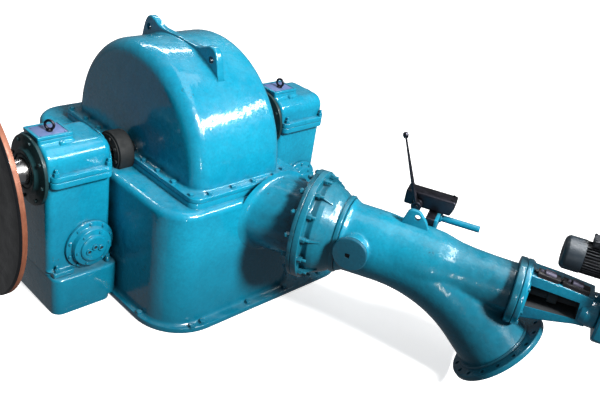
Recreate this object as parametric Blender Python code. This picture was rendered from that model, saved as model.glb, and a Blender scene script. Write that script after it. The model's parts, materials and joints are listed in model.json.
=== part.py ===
"""Impulse water turbine set with a horizontal shaft and one inclined jet.

Metres, Z up. X runs across the shaft towards the inlet side, Y runs along the
shaft from the flywheel end to the far bearing. The empty "turbine_set" carries
every piece and moves the machine so that the middle of its box is the origin.
"""
import math

import bmesh
import bpy
from mathutils import Matrix, Vector

# Where the machine's own origin (shaft axis over the floor, runner plane) goes
SHIFT_X = -0.6717
SHIFT_Y = 0.0546

# Gap between touching castings, and radial running clearance on turning parts
GAP = 0.0003
RUN = 0.0006

# Shaft line
SHAFT_Z = 0.666
SHAFT_R = 0.042
JOURNAL_R = 0.055
SHAFT_START_Y = -1.055
SHAFT_END_Y = 0.862
FLYWHEEL_R = 0.472
FLYWHEEL_W = 0.030
FLYWHEEL_FAR_Y = -0.990
FLYWHEEL_CHAMFER = 0.008
RUNNER_R = 0.235
BLADES = 18

# Upper cover: half a drum with rounded edges on a bolted flange
DRUM_R = 0.503
DRUM_HALF_W = 0.248
DRUM_EDGE_R = 0.075
DRUM_WALL = 0.018
SPLIT_Z = 0.640
FLANGE_TOP_Z = 0.662
FLANGE_X = 0.55
FLANGE_Y = 0.288

# Lower casing: rounded box with a foot flange
BOX_BACK_X = -0.69
BOX_FRONT_X = 0.585
BOX_NEAR_Y = -0.41
BOX_FAR_Y = 0.43
BOX_TOP_Z = 0.614
BOX_CORNER_R = 0.16
BOX_WALL = 0.022
FOOT_T = 0.028
FOOT_OUT = 0.032

# Bearings and their plinths, placed by the middle of the inspection frame
BEARING_Y = (-0.66, 0.66)
HOUSING_HALF_X = 0.14
HOUSING_START = -0.08
HOUSING_END = 0.232
CAP_TOP_Z = 0.802
CAP_END_R = 0.020
PLINTH_H = 0.19
PLINTH_HALF_X = 0.195
PLINTH_END = 0.2172
PLINTH_OVER_FOOT_END = 0.2495
PORT_Y = 0.118
PORT_Z = 0.308

# Nozzle line: its frame sits on the casing's nozzle flange, X points outwards
NOZZLE_AT = (0.7485, 0.2456, 0.5054)
NOZZLE_YAW = math.radians(25.86)
NOZZLE_FLANGE_R = 0.255
NECK_FLANGE_T = 0.020
PIPE_R = 0.160
WAIST_R = 0.141
MOUTH_R = 0.165
PIPE_WALL = 0.014
BEND_START = 0.3117
BEND_RADIUS = 0.76
BEND_ANGLE = math.radians(42.5)
BEND_TAIL = 0.1896
INLET_FLANGE_R = 0.228
INLET_FLANGE_T = 0.026
INLET_FLANGE_RISE = 0.012
BELL_END = 0.175
SLEEVE_END = 0.972
PAIR_R = 0.148
HAND_HOLE_AT = (0.250, 0.0, 0.032)
HAND_HOLE_R = 0.0795
YOKE_HALF_Y = 0.062
GEAR_START = 1.300
MOTOR_Z = 0.248
MOTOR_R = 0.072
LEVER_AT = (0.436, 0.158, 0.165)
LEVER_LEAN = math.radians(-20.95)
LEVER_LENGTH = 0.347


# Materials

def material(name, colour, roughness, metallic=0.0):
    mat = bpy.data.materials.new(name)
    mat.use_nodes = True
    shader = mat.node_tree.nodes["Principled BSDF"]
    shader.inputs["Base Color"].default_value = (*colour, 1.0)
    shader.inputs["Roughness"].default_value = roughness
    shader.inputs["Metallic"].default_value = metallic
    mat.diffuse_color = (*colour, 1.0)
    return mat


PAINTS = {
    "machine_blue": ((0.02, 0.36, 0.50), 0.35, 0.0),
    "black_paint": ((0.012, 0.012, 0.014), 0.5, 0.0),
    "rim_primer": ((0.42, 0.13, 0.045), 0.55, 0.0),
    "cover_grey": ((0.19, 0.19, 0.42), 0.4, 0.0),
    "dark_steel": ((0.05, 0.05, 0.07), 0.35, 0.8),
    "bright_steel": ((0.55, 0.55, 0.55), 0.3, 1.0),
    "cast_bronze": ((0.45, 0.28, 0.12), 0.4, 0.9),
    "motor_slate": ((0.03, 0.045, 0.065), 0.45, 0.0),
    "switch_black": ((0.02, 0.02, 0.025), 0.5, 0.0),
}
MATERIALS = {}


def paint(name):
    """One material for each piece, made the first time that it is asked for."""
    if name not in MATERIALS:
        MATERIALS[name] = material(name, *PAINTS[name])
    return MATERIALS[name]


# Mesh helpers

def to_object(name, bm, colour, parent=None, smooth_under=38.0):
    """Turns a bmesh into a finished object: outward faces, sharp edges kept sharp."""
    bmesh.ops.remove_doubles(bm, verts=bm.verts, dist=1e-6)
    bmesh.ops.recalc_face_normals(bm, faces=bm.faces)
    limit = math.radians(smooth_under)
    for face in bm.faces:
        face.smooth = True
    for edge in bm.edges:
        edge.smooth = len(edge.link_faces) == 2 and edge.calc_face_angle(0.0) < limit
    mesh = bpy.data.meshes.new(name)
    bm.to_mesh(mesh)
    bm.free()
    obj = bpy.data.objects.new(name, mesh)
    bpy.context.scene.collection.objects.link(obj)
    mesh.materials.append(paint(colour))
    obj.parent = parent
    return obj


def combine(obj, bm, operation):
    """Fuses a bmesh into an object, or cuts it out, and keeps the plain result."""
    bmesh.ops.recalc_face_normals(bm, faces=bm.faces)
    mesh = bpy.data.meshes.new("tool")
    bm.to_mesh(mesh)
    bm.free()
    tool = bpy.data.objects.new("tool", mesh)
    tool.parent = obj.parent
    tool.location = obj.location
    tool.rotation_euler = obj.rotation_euler
    bpy.context.scene.collection.objects.link(tool)
    modifier = obj.modifiers.new("combine", "BOOLEAN")
    modifier.operation = operation
    modifier.solver = "EXACT"
    modifier.object = tool
    bpy.context.view_layer.update()
    graph = bpy.context.evaluated_depsgraph_get()
    result = bpy.data.meshes.new_from_object(obj.evaluated_get(graph))
    obj.modifiers.clear()
    old = obj.data
    obj.data = result
    bpy.data.objects.remove(tool)
    bpy.data.meshes.remove(mesh)
    bpy.data.meshes.remove(old)
    result.name = obj.name


def tidy(obj, smooth_under=38.0):
    """Cleans a fused mesh and marks its sharp edges again."""
    bm = bmesh.new()
    bm.from_mesh(obj.data)
    bmesh.ops.remove_doubles(bm, verts=bm.verts, dist=1e-5)
    bmesh.ops.dissolve_degenerate(bm, edges=bm.edges, dist=1e-6)
    limit = math.radians(smooth_under)
    for face in bm.faces:
        face.smooth = True
    for edge in bm.edges:
        edge.smooth = len(edge.link_faces) == 2 and edge.calc_face_angle(0.0) < limit
    bm.to_mesh(obj.data)
    bm.free()


def ring_solid(rings, closed=False):
    """Skins a list of equal rings; the ends are capped unless the list closes on itself."""
    bm = bmesh.new()
    loops = [[bm.verts.new(p) for p in ring] for ring in rings]
    count = len(loops[0])
    pairs = list(zip(loops, loops[1:]))
    if closed:
        pairs.append((loops[-1], loops[0]))
    for a, b in pairs:
        for i in range(count):
            j = (i + 1) % count
            bm.faces.new((a[i], a[j], b[j], b[i]))
    if not closed:
        bm.faces.new(loops[0])
        bm.faces.new(list(reversed(loops[-1])))
    return bm


def lathe(profile, axis="X", segments=32, at=(0.0, 0.0, 0.0)):
    """Solid of revolution from (distance along the axis, radius) pairs."""
    rings = []
    for along, radius in profile:
        ring = []
        for k in range(segments):
            a = 2 * math.pi * k / segments
            u, v = radius * math.cos(a), radius * math.sin(a)
            if axis == "X":
                point = (along, u, v)
            elif axis == "Y":
                point = (v, along, u)
            else:
                point = (u, v, along)
            ring.append(Vector(point) + Vector(at))
        rings.append(ring)
    return ring_solid(rings)


def tube_lathe(profile, segments=32, at=(0.0, 0.0, 0.0)):
    """Ring about the Y axis from a closed loop of (distance, radius) pairs, open in the middle."""
    bm = bmesh.new()
    loops = []
    for k in range(segments):
        a = 2 * math.pi * k / segments
        loop = []
        for along, radius in profile:
            u, v = radius * math.cos(a), radius * math.sin(a)
            loop.append(bm.verts.new(Vector((v, along, u)) + Vector(at)))
        loops.append(loop)
    count = len(profile)
    for k in range(segments):
        a, b = loops[k], loops[(k + 1) % segments]
        for i in range(count):
            j = (i + 1) % count
            bm.faces.new((a[i], a[j], b[j], b[i]))
    return bm


def rounded_outline(corners, steps=5):
    """Outline through corners given as (x, y, radius), each rounded by its own radius."""
    points = []
    count = len(corners)
    for i, (x, y, radius) in enumerate(corners):
        here = Vector((x, y))
        before = Vector(corners[i - 1][:2])
        after = Vector(corners[(i + 1) % count][:2])
        if radius <= 0:
            points.append(here)
            continue
        to_a = (before - here).normalized()
        to_b = (after - here).normalized()
        half = math.acos(max(-1.0, min(1.0, to_a.dot(to_b)))) / 2
        reach = radius / math.tan(half)
        centre = here + (to_a + to_b).normalized() * (radius / math.sin(half))
        start = here + to_a * reach - centre
        end = here + to_b * reach - centre
        turn = math.atan2(start.x * end.y - start.y * end.x, start.dot(end))
        for k in range(steps + 1):
            a = turn * k / steps
            c, s = math.cos(a), math.sin(a)
            points.append(centre + Vector((start.x * c - start.y * s, start.x * s + start.y * c)))
    return points


def prism(outline, low, high, axis="Z"):
    """Straight solid on an outline, along Z, or along Y with the outline in X and Z."""
    if axis == "Z":
        rings = [[(p[0], p[1], h) for p in outline] for h in (low, high)]
    else:
        rings = [[(p[0], h, p[1]) for p in outline] for h in (low, high)]
    return ring_solid(rings)


def rectangle(x0, x1, y0, y1, radius=0.0):
    return rounded_outline([(x0, y0, radius), (x1, y0, radius), (x1, y1, radius), (x0, y1, radius)])


def domed_prism(corners, low, high, edge, steps=4):
    """Rounded prism whose top edge is rounded too, by stepping the outline inwards."""
    rings = []
    levels = [(low, 0.0), (high - edge, 0.0)]
    for k in range(1, steps + 1):
        a = math.pi / 2 * k / steps
        levels.append((high - edge + edge * math.sin(a), edge * (1 - math.cos(a))))
    for z, inset in levels:
        x0, x1, y0, y1, radius = corners
        inner = max(radius - inset, 0.004)
        ring = rectangle(x0 + inset, x1 - inset, y0 + inset, y1 - inset, inner)
        rings.append([(p.x, p.y, z) for p in ring])
    return ring_solid(rings)


def box(x0, x1, y0, y1, z0, z1, edge=0.0, segments=2):
    """Box with all its edges rounded."""
    bm = bmesh.new()
    size = Matrix.Diagonal((x1 - x0, y1 - y0, z1 - z0, 1.0))
    middle = Matrix.Translation(((x0 + x1) / 2, (y0 + y1) / 2, (z0 + z1) / 2))
    bmesh.ops.create_cube(bm, size=1.0, matrix=middle @ size)
    if edge > 0:
        bmesh.ops.bevel(bm, geom=bm.edges[:], offset=edge, segments=segments, profile=0.5, affect="EDGES")
    return bm


def empty(name, location, parent=None, yaw=0.0):
    obj = bpy.data.objects.new(name, None)
    obj.location = location
    obj.rotation_euler = (0.0, 0.0, yaw)
    obj.parent = parent
    bpy.context.scene.collection.objects.link(obj)
    return obj


# Casing

def build_lower_casing(root):
    wall = (BOX_BACK_X, BOX_FRONT_X, BOX_NEAR_Y, BOX_FAR_Y, BOX_CORNER_R)
    casing = to_object("lower_casing", domed_prism(wall, 0.0, BOX_TOP_Z, 0.035), "machine_blue", root)
    near = BOX_NEAR_Y - 0.032
    far = BOX_FAR_Y + 0.03
    back = BOX_BACK_X - FOOT_OUT
    front = BOX_FRONT_X + 0.046
    foot = rounded_outline([(back, near, 0.24), (front, near, 0.24), (front, 0.775, 0.25),
                            (0.235, 0.775, 0.05), (0.235, far, 0.02), (back, far, 0.24)])
    combine(casing, prism(foot, 0.0, FOOT_T), "UNION")
    seat = rectangle(-FLANGE_X, FLANGE_X, -FLANGE_Y, FLANGE_Y, 0.05)
    combine(casing, prism(seat, BOX_TOP_Z - 0.03, SPLIT_Z - GAP), "UNION")
    combine(casing, nozzle_neck(), "UNION")
    inner = domed_prism((BOX_BACK_X + BOX_WALL, BOX_FRONT_X - BOX_WALL, BOX_NEAR_Y + BOX_WALL,
                         BOX_FAR_Y - BOX_WALL, BOX_CORNER_R - BOX_WALL), -0.02, BOX_TOP_Z - BOX_WALL, 0.02)
    combine(casing, inner, "DIFFERENCE")
    mouth = rectangle(-DRUM_R + 0.04, DRUM_R - 0.04, -0.215, 0.215, 0.03)
    combine(casing, prism(mouth, BOX_TOP_Z - 0.06, SPLIT_Z + 0.02), "DIFFERENCE")
    combine(casing, nozzle_bore(), "DIFFERENCE")
    groove = lathe([(-0.5, SHAFT_R + 0.008), (0.5, SHAFT_R + 0.008)], "Y", 24, (0.0, 0.0, SHAFT_Z))
    combine(casing, groove, "DIFFERENCE")
    tidy(casing)
    return casing


def nozzle_matrix():
    return Matrix.Translation(NOZZLE_AT) @ Matrix.Rotation(NOZZLE_YAW, 4, "Z")


def nozzle_neck():
    """The short inclined neck and its flange, which the nozzle is bolted to."""
    back = -NECK_FLANGE_T
    bm = lathe([(-0.40, 0.178), (back - 0.018, 0.178), (back - 0.008, 0.19), (back - 0.0005, 0.2),
                (back, NOZZLE_FLANGE_R), (0.0, NOZZLE_FLANGE_R)], "X", 36)
    bm.transform(nozzle_matrix())
    keep_in_front = BOX_FRONT_X - 0.016
    cut = bmesh.ops.bisect_plane(bm, geom=bm.verts[:] + bm.edges[:] + bm.faces[:],
                                 plane_co=(keep_in_front, 0, 0), plane_no=(-1, 0, 0), clear_outer=True)
    rim = [e for e in cut["geom_cut"] if isinstance(e, bmesh.types.BMEdge)]
    bmesh.ops.contextual_create(bm, geom=rim)
    return bm


def nozzle_bore():
    bm = lathe([(-0.45, 0.125), (0.05, 0.125)], "X", 28)
    bm.transform(nozzle_matrix())
    return bm


def drum_rings(radius, half_width, edge, start, end, steps=28):
    """Rings of the half drum, each one a section through the shaft axis."""
    rings = []
    for k in range(steps + 1):
        a = start + (end - start) * k / steps
        profile = [(0.0, -half_width), (radius - edge, -half_width)]
        for i in range(1, 5):
            b = math.pi / 2 * i / 4
            profile.append((radius - edge + edge * math.sin(b), -half_width + edge * (1 - math.cos(b))))
        profile += [(r, -y) for r, y in reversed(profile)]
        rings.append([(r * math.cos(a), y, SHAFT_Z + r * math.sin(a)) for r, y in profile])
    return rings


def half_drum(radius, half_width, edge, bottom):
    """Half drum on the shaft line, carried straight down to the given height."""
    bm = bmesh.new()
    rings = drum_rings(radius, half_width, edge, 0.0, math.pi)
    first = [(x, y, bottom) for x, y, z in rings[0]]
    last = [(x, y, bottom) for x, y, z in rings[-1]]
    half = len(first) // 2
    loops = [first] + rings + [last]
    made = [[bm.verts.new(p) for p in loop] for loop in loops]
    count = len(first)
    for a, b in zip(made, made[1:]):
        for i in range(count - 1):
            face = [a[i], a[i + 1], b[i + 1], b[i]]
            points = []
            for vert in face:
                if all((vert.co - other.co).length > 1e-7 for other in points):
                    points.append(vert)
            if len(points) > 2:
                bm.faces.new(points)
    bmesh.ops.remove_doubles(bm, verts=bm.verts, dist=1e-6)
    rim = [e for e in bm.edges if len(e.link_faces) == 1]
    bmesh.ops.contextual_create(bm, geom=rim)
    return bm


def build_upper_cover(root):
    cover = to_object("upper_cover", half_drum(DRUM_R, DRUM_HALF_W, DRUM_EDGE_R, SPLIT_Z), "machine_blue", root)
    flange = rectangle(-FLANGE_X, FLANGE_X, -FLANGE_Y, FLANGE_Y, 0.05)
    combine(cover, prism(flange, SPLIT_Z, FLANGE_TOP_Z), "UNION")
    inner = half_drum(DRUM_R - DRUM_WALL, DRUM_HALF_W - DRUM_WALL, DRUM_EDGE_R - DRUM_WALL, SPLIT_Z - 0.03)
    combine(cover, inner, "DIFFERENCE")
    bore = lathe([(-0.5, SHAFT_R + 0.008), (0.5, SHAFT_R + 0.008)], "Y", 24, (0.0, 0.0, SHAFT_Z))
    combine(cover, bore, "DIFFERENCE")
    tidy(cover)
    return cover


def build_lifting_plate(root):
    """Cast rib over the crown with an ear at each end, sitting on the drum."""
    seat = DRUM_R + GAP
    top = [(-0.315, 1.075), (-0.318, 1.12), (-0.300, 1.165), (-0.262, 1.196), (-0.222, 1.206), (-0.185, 1.197),
           (-0.155, 1.181), (-0.10, 1.178), (0.0, 1.181), (0.10, 1.178), (0.155, 1.181), (0.185, 1.197),
           (0.222, 1.206), (0.262, 1.196), (0.300, 1.165), (0.318, 1.12), (0.315, 1.075)]
    under = []
    for k in range(13):
        a = math.radians(52 + (128 - 52) * k / 12)
        under.append((seat * math.cos(a), SHAFT_Z + seat * math.sin(a)))
    outline = [p for p in reversed(top)] + [p for p in reversed(under)]
    plate = to_object("lifting_plate", prism(outline, -0.025, 0.025, "Y"), "machine_blue", root)
    for side in (-1, 1):
        hole = lathe([(-0.1, 0.017), (0.1, 0.017)], "Y", 20, (side * 0.245, 0.0, 1.148))
        combine(plate, hole, "DIFFERENCE")
    tidy(plate)
    return plate


def build_shaft_seal(root, name, side):
    """Half-round cover over the shaft where it leaves the drum."""
    start, end = sorted((side * (FLANGE_Y + GAP), side * (FLANGE_Y + 0.075)))
    radius = 0.098
    lowest = BOX_TOP_Z + GAP
    outline = []
    a0 = math.asin((lowest - SHAFT_Z) / radius)
    for k in range(25):
        a = a0 + (math.pi - 2 * a0) * k / 24
        outline.append((radius * math.cos(a), SHAFT_Z + radius * math.sin(a)))
    seal = to_object(name, prism(outline, start, end, "Y"), "machine_blue", root)
    bore = lathe([(-0.5, SHAFT_R + RUN), (0.5, SHAFT_R + RUN)], "Y", 24, (0.0, 0.0, SHAFT_Z))
    combine(seal, bore, "DIFFERENCE")
    tidy(seal)
    return seal


# Rotor

def build_rotor(root):
    shaft = to_object("shaft", lathe([
        (SHAFT_START_Y, 0.044), (SHAFT_START_Y + 0.006, 0.05), (-0.82, 0.05),
        (-0.79, JOURNAL_R), (-0.40, JOURNAL_R), (-0.395, SHAFT_R), (0.52, SHAFT_R), (0.525, JOURNAL_R),
        (SHAFT_END_Y - 0.006, JOURNAL_R), (SHAFT_END_Y, 0.049)], "Y", 28), "bright_steel", root)
    shaft.location = (0.0, 0.0, SHAFT_Z)
    build_flywheel(shaft)
    build_runner(shaft)
    return shaft


def build_flywheel(shaft):
    near = FLYWHEEL_FAR_Y - FLYWHEEL_W
    web_near, web_far = near + 0.008, FLYWHEEL_FAR_Y - 0.008
    bore = 0.05 + GAP
    wheel = tube_lathe([
        (FLYWHEEL_FAR_Y + 0.05, bore), (FLYWHEEL_FAR_Y + 0.05, 0.095), (web_far, 0.11), (web_far, 0.385),
        (FLYWHEEL_FAR_Y, 0.395), (FLYWHEEL_FAR_Y, FLYWHEEL_R - 0.004), (FLYWHEEL_FAR_Y - 0.004, FLYWHEEL_R),
        (near + FLYWHEEL_CHAMFER, FLYWHEEL_R), (near, FLYWHEEL_R - FLYWHEEL_CHAMFER), (near, 0.395),
        (web_near, 0.385), (web_near, 0.13), (near - 0.03, 0.12), (near - 0.03, bore)], 64)
    wheel = to_object("flywheel", wheel, "rim_primer", shaft)
    return wheel


def build_runner(shaft):
    """Hub, curved blades and outer ring of the jet runner, fused into one wheel."""
    bore = SHAFT_R + GAP
    hub = tube_lathe([(-0.085, bore), (-0.085, 0.07), (-0.06, 0.085), (0.02, 0.098), (0.05, 0.085), (0.05, bore)], 36)
    runner = to_object("runner", hub, "cast_bronze", shaft)
    rim = tube_lathe([(-0.055, RUNNER_R - 0.012), (-0.055, RUNNER_R), (-0.015, RUNNER_R), (-0.015, RUNNER_R - 0.012)], 36)
    combine(runner, rim, "UNION")
    for k in range(BLADES):
        blade = runner_blade()
        blade.transform(Matrix.Rotation(2 * math.pi * k / BLADES, 4, "Y"))
        combine(runner, blade, "UNION")
    tidy(runner)
    return runner


def runner_blade():
    """One curved blade from the hub to the ring."""
    steps = 4
    thick = 0.006
    rings = []
    for k in range(2):
        radius = 0.078 + (RUNNER_R - 0.006 - 0.078) * k
        front, back = [], []
        for i in range(steps + 1):
            t = i / steps
            along = 0.045 - 0.095 * t
            swing = 0.05 * math.sin(math.pi * t * 0.85) - 0.012
            front.append((swing + thick / 2, along, radius))
            back.append((swing - thick / 2, along, radius))
        rings.append(front + list(reversed(back)))
    return ring_solid(rings)


# Bearings

def build_plinth(frame, tag, over_foot):
    """Block under a bearing; the near one also stands over the edge of the casing's foot."""
    start = HOUSING_START + 0.005
    block = domed_prism((-PLINTH_HALF_X, PLINTH_HALF_X, start, PLINTH_END, 0.045), 0.0, PLINTH_H - GAP, 0.012, 3)
    plinth = to_object(tag + "_plinth", block, "machine_blue", frame)
    if over_foot:
        upper = domed_prism((-PLINTH_HALF_X, PLINTH_HALF_X, start, PLINTH_OVER_FOOT_END, 0.045), FOOT_T + RUN,
                            PLINTH_H - GAP, 0.012, 3)
        combine(plinth, upper, "UNION")
        tidy(plinth)
    return plinth


def cap_solid():
    """Arched bearing cap whose two end edges are rounded."""
    levels = [(0.0, 1.0), (0.3, 0.3), (1.0, 0.0)]
    stations = [(HOUSING_START + CAP_END_R * a, CAP_END_R * b) for a, b in levels]
    stations += [(HOUSING_END - CAP_END_R * a, CAP_END_R * b) for a, b in reversed(levels)]
    rings = []
    for y, inset in stations:
        half = HOUSING_HALF_X - inset
        top = CAP_TOP_Z - inset
        corner = top - SHAFT_Z - 0.001
        outline = rounded_outline([(-half, SHAFT_Z, 0.0), (half, SHAFT_Z, 0.0), (half, top, corner),
                                   (-half, top, corner)], 9)
        rings.append([(p.x, y, p.y) for p in outline])
    return ring_solid(rings)


def build_bearing(root, tag, y):
    frame = empty(tag + "_bearing", (0.0, y, 0.0), root)
    start, end = HOUSING_START, HOUSING_END
    half = HOUSING_HALF_X
    build_plinth(frame, tag, tag == "near")

    housing = prism(rectangle(-half, half, start, end, 0.03), PLINTH_H, SHAFT_Z - GAP)
    housing = to_object(tag + "_bearing_housing", housing, "machine_blue", frame)
    for foot_start, foot_end in ((start + 0.015, PORT_Y - 0.083), (PORT_Y + 0.078, PLINTH_END - 0.003)):
        foot = rectangle(-half - 0.03, half + 0.03, foot_start, foot_end, 0.008)
        combine(housing, prism(foot, PLINTH_H, PLINTH_H + 0.024), "UNION")
    lip = rectangle(-half - 0.026, half + 0.026, start + 0.012, end - 0.008, 0.03)
    combine(housing, prism(lip, SHAFT_Z - 0.03, SHAFT_Z - GAP), "UNION")
    bore = lathe([(-0.5, JOURNAL_R + RUN), (0.5, JOURNAL_R + RUN)], "Y", 28, (0.0, 0.0, SHAFT_Z))
    combine(housing, bore, "DIFFERENCE")
    tidy(housing)

    cap = to_object(tag + "_bearing_cap", cap_solid(), "machine_blue", frame)
    lip = rectangle(-half - 0.026, half + 0.026, start + 0.012, end - 0.008, 0.03)
    combine(cap, prism(lip, SHAFT_Z, SHAFT_Z + 0.026), "UNION")
    turret = domed_prism((-0.07, 0.07, start + 0.0005, 0.080, 0.012), 0.76, 0.824, 0.006, 2)
    combine(cap, turret, "UNION")
    bore = lathe([(-0.5, JOURNAL_R + RUN), (0.5, JOURNAL_R + RUN)], "Y", 28, (0.0, 0.0, SHAFT_Z))
    combine(cap, bore, "DIFFERENCE")
    tidy(cap)

    frame_bm = prism(rectangle(-0.066, 0.066, -0.082, 0.078, 0.006), 0.824 + GAP, 0.838)
    inspection = to_object(tag + "_inspection_frame", frame_bm, "machine_blue", frame)
    recess = prism(rectangle(-0.053, 0.053, -0.069, 0.065, 0.004), 0.831, 0.86)
    combine(inspection, recess, "DIFFERENCE")
    tidy(inspection)
    plate = prism(rectangle(-0.052, 0.052, -0.068, 0.064, 0.004), 0.831 + GAP, 0.836)
    to_object(tag + "_inspection_cover", plate, "cover_grey", frame)
    build_eye_ring(frame, tag, 0.836 + GAP)
    build_oil_port(frame, tag)
    return frame


def build_eye_ring(frame, tag, z):
    """Lifting eye of the inspection cover: a stem and a ring standing across the shaft."""
    thick, hoop_r, height = 0.006, 0.0193, 0.027
    stem = lathe([(0.0, 0.014), (0.005, 0.014), (0.006, 0.009), (0.010, 0.007)], "Z", 20)
    ring = to_object(tag + "_cover_eye", stem, "dark_steel", frame)
    ring.location = (0.011, -0.001, z)
    section = []
    for k in range(8):
        a = 2 * math.pi * k / 8
        section.append((thick * math.cos(a), hoop_r + thick * math.sin(a)))
    combine(ring, tube_lathe(section, 20, (0.0, 0.0, height)), "UNION")
    tidy(ring)
    return ring


def build_oil_port(frame, tag):
    """Round stepped cover on the front of the housing."""
    start = HOUSING_HALF_X + GAP
    port = lathe([(start, 0.118), (start + 0.014, 0.118), (start + 0.018, 0.114), (start + 0.018, 0.094),
                  (start + 0.042, 0.092), (start + 0.046, 0.088), (start + 0.046, 0.066), (start + 0.056, 0.064),
                  (start + 0.058, 0.06)], "X", 28, (0.0, PORT_Y, PORT_Z))
    return to_object(tag + "_oil_port", port, "machine_blue", frame)


def build_end_seal(root, name, start, end, radius):
    """Stepped round cover on the end of a bearing housing."""
    bore = JOURNAL_R + 0.004
    reach = end - start
    steps = [(0.0, bore), (0.0, radius), (0.42, radius), (0.53, radius - 0.004), (0.59, radius * 0.66),
             (1.0, radius * 0.62), (1.0, bore)]
    loop = [(start + reach * t, r) for t, r in steps]
    return to_object(name, tube_lathe(loop, 28, (0.0, 0.0, SHAFT_Z)), "machine_blue", root)


# Nozzle, inlet bend and needle drive, in the nozzle's own frame

def build_nozzle(frame):
    bell = lathe([(GAP, NOZZLE_FLANGE_R), (0.030, NOZZLE_FLANGE_R), (0.0305, 0.232), (0.05, 0.222), (0.085, 0.212),
                  (0.125, 0.193), (0.15, 0.176), (0.156, 0.182), (0.168, 0.182), (BELL_END - 0.003, 0.180),
                  (BELL_END, 0.176)], "X", 36)
    nozzle = to_object("nozzle_body", bell, "machine_blue", frame)
    throat = lathe([(0.02, 0.118), (-0.14, 0.112), (-0.30, 0.062), (-0.345, 0.046), (-0.352, 0.040)], "X", 28)
    combine(nozzle, throat, "UNION")
    inside = lathe([(0.25, 0.152), (0.12, 0.152), (0.0, 0.104), (-0.14, 0.098), (-0.30, 0.047), (-0.36, 0.028)],
                   "X", 28)
    combine(nozzle, inside, "DIFFERENCE")
    tidy(nozzle)
    return nozzle


def bend_point(distance):
    """Centre line of the inlet bend: straight, then an arc downwards, then a short straight."""
    if distance < 0:
        return Vector((BEND_START + distance, 0.0, 0.0)), 0.0
    arc = BEND_RADIUS * BEND_ANGLE
    angle = min(distance, arc) / BEND_RADIUS
    point = Vector((BEND_START + BEND_RADIUS * math.sin(angle), 0.0, -BEND_RADIUS * (1 - math.cos(angle))))
    if distance > arc:
        point += Vector((math.cos(angle), 0.0, -math.sin(angle))) * (distance - arc)
    return point, angle


def bend_solid(stations, segments=32):
    """Pipe along the bend from (distance, radius) stations."""
    rings = []
    for distance, radius in stations:
        centre, angle = bend_point(distance)
        ring = []
        for k in range(segments):
            a = 2 * math.pi * k / segments
            across = Vector((0.0, math.cos(a), 0.0))
            up = Vector((math.sin(angle), 0.0, math.cos(angle))) * math.sin(a)
            ring.append(centre + (across + up) * radius)
        rings.append(ring)
    return ring_solid(rings)


def bend_stations(offset):
    """Stations from the nozzle to the inlet flange, offset from the pipe's outer surface."""
    length = BEND_RADIUS * BEND_ANGLE + BEND_TAIL
    lead = BEND_START - BELL_END - GAP
    run = length - 0.02 - INLET_FLANGE_T / 2
    stations = [(-lead, 0.176 + offset), (-lead + 0.012, PIPE_R + 0.006 + offset), (-lead + 0.03, PIPE_R + offset)]
    for k in range(10):
        along = 0.02 + run * k / 9
        t = along / length
        radius = (1 - t) ** 2 * PIPE_R + 2 * t * (1 - t) * WAIST_R + t ** 2 * MOUTH_R
        stations.append((along, radius + offset))
    return stations


def bend_sleeve(offset):
    """Round sleeve that carries the needle rod straight on through the bend's back."""
    pair = SLEEVE_END - 0.032
    profile = [(0.33, 0.154), (0.45, 0.154), (0.54, 0.151), (0.60, 0.146), (0.64, 0.137), (0.68, 0.127),
               (0.74, 0.120), (0.83, 0.115), (pair - 0.010, 0.112), (pair, 0.116), (pair + 0.0005, PAIR_R),
               (SLEEVE_END, PAIR_R)]
    return lathe([(along, radius + offset) for along, radius in profile], "X", 32)


def cut_to_bend(obj):
    """Trims a piece that is seated on the bend, with the usual gap."""
    combine(obj, bend_solid(bend_stations(GAP)), "DIFFERENCE")
    combine(obj, bend_sleeve(GAP), "DIFFERENCE")


def inlet_flange():
    """Round flange square to the pipe's end, set a little higher than the pipe."""
    end, angle = bend_point(BEND_RADIUS * BEND_ANGLE + BEND_TAIL)
    chamfer = 0.005
    bm = lathe([(-INLET_FLANGE_T, INLET_FLANGE_R - chamfer), (-INLET_FLANGE_T + chamfer, INLET_FLANGE_R),
                (0.0, INLET_FLANGE_R)], "X", 44, (0.0, 0.0, INLET_FLANGE_RISE))
    bm.transform(Matrix.Translation(end) @ Matrix.Rotation(angle, 4, "Y"))
    return bm


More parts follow.
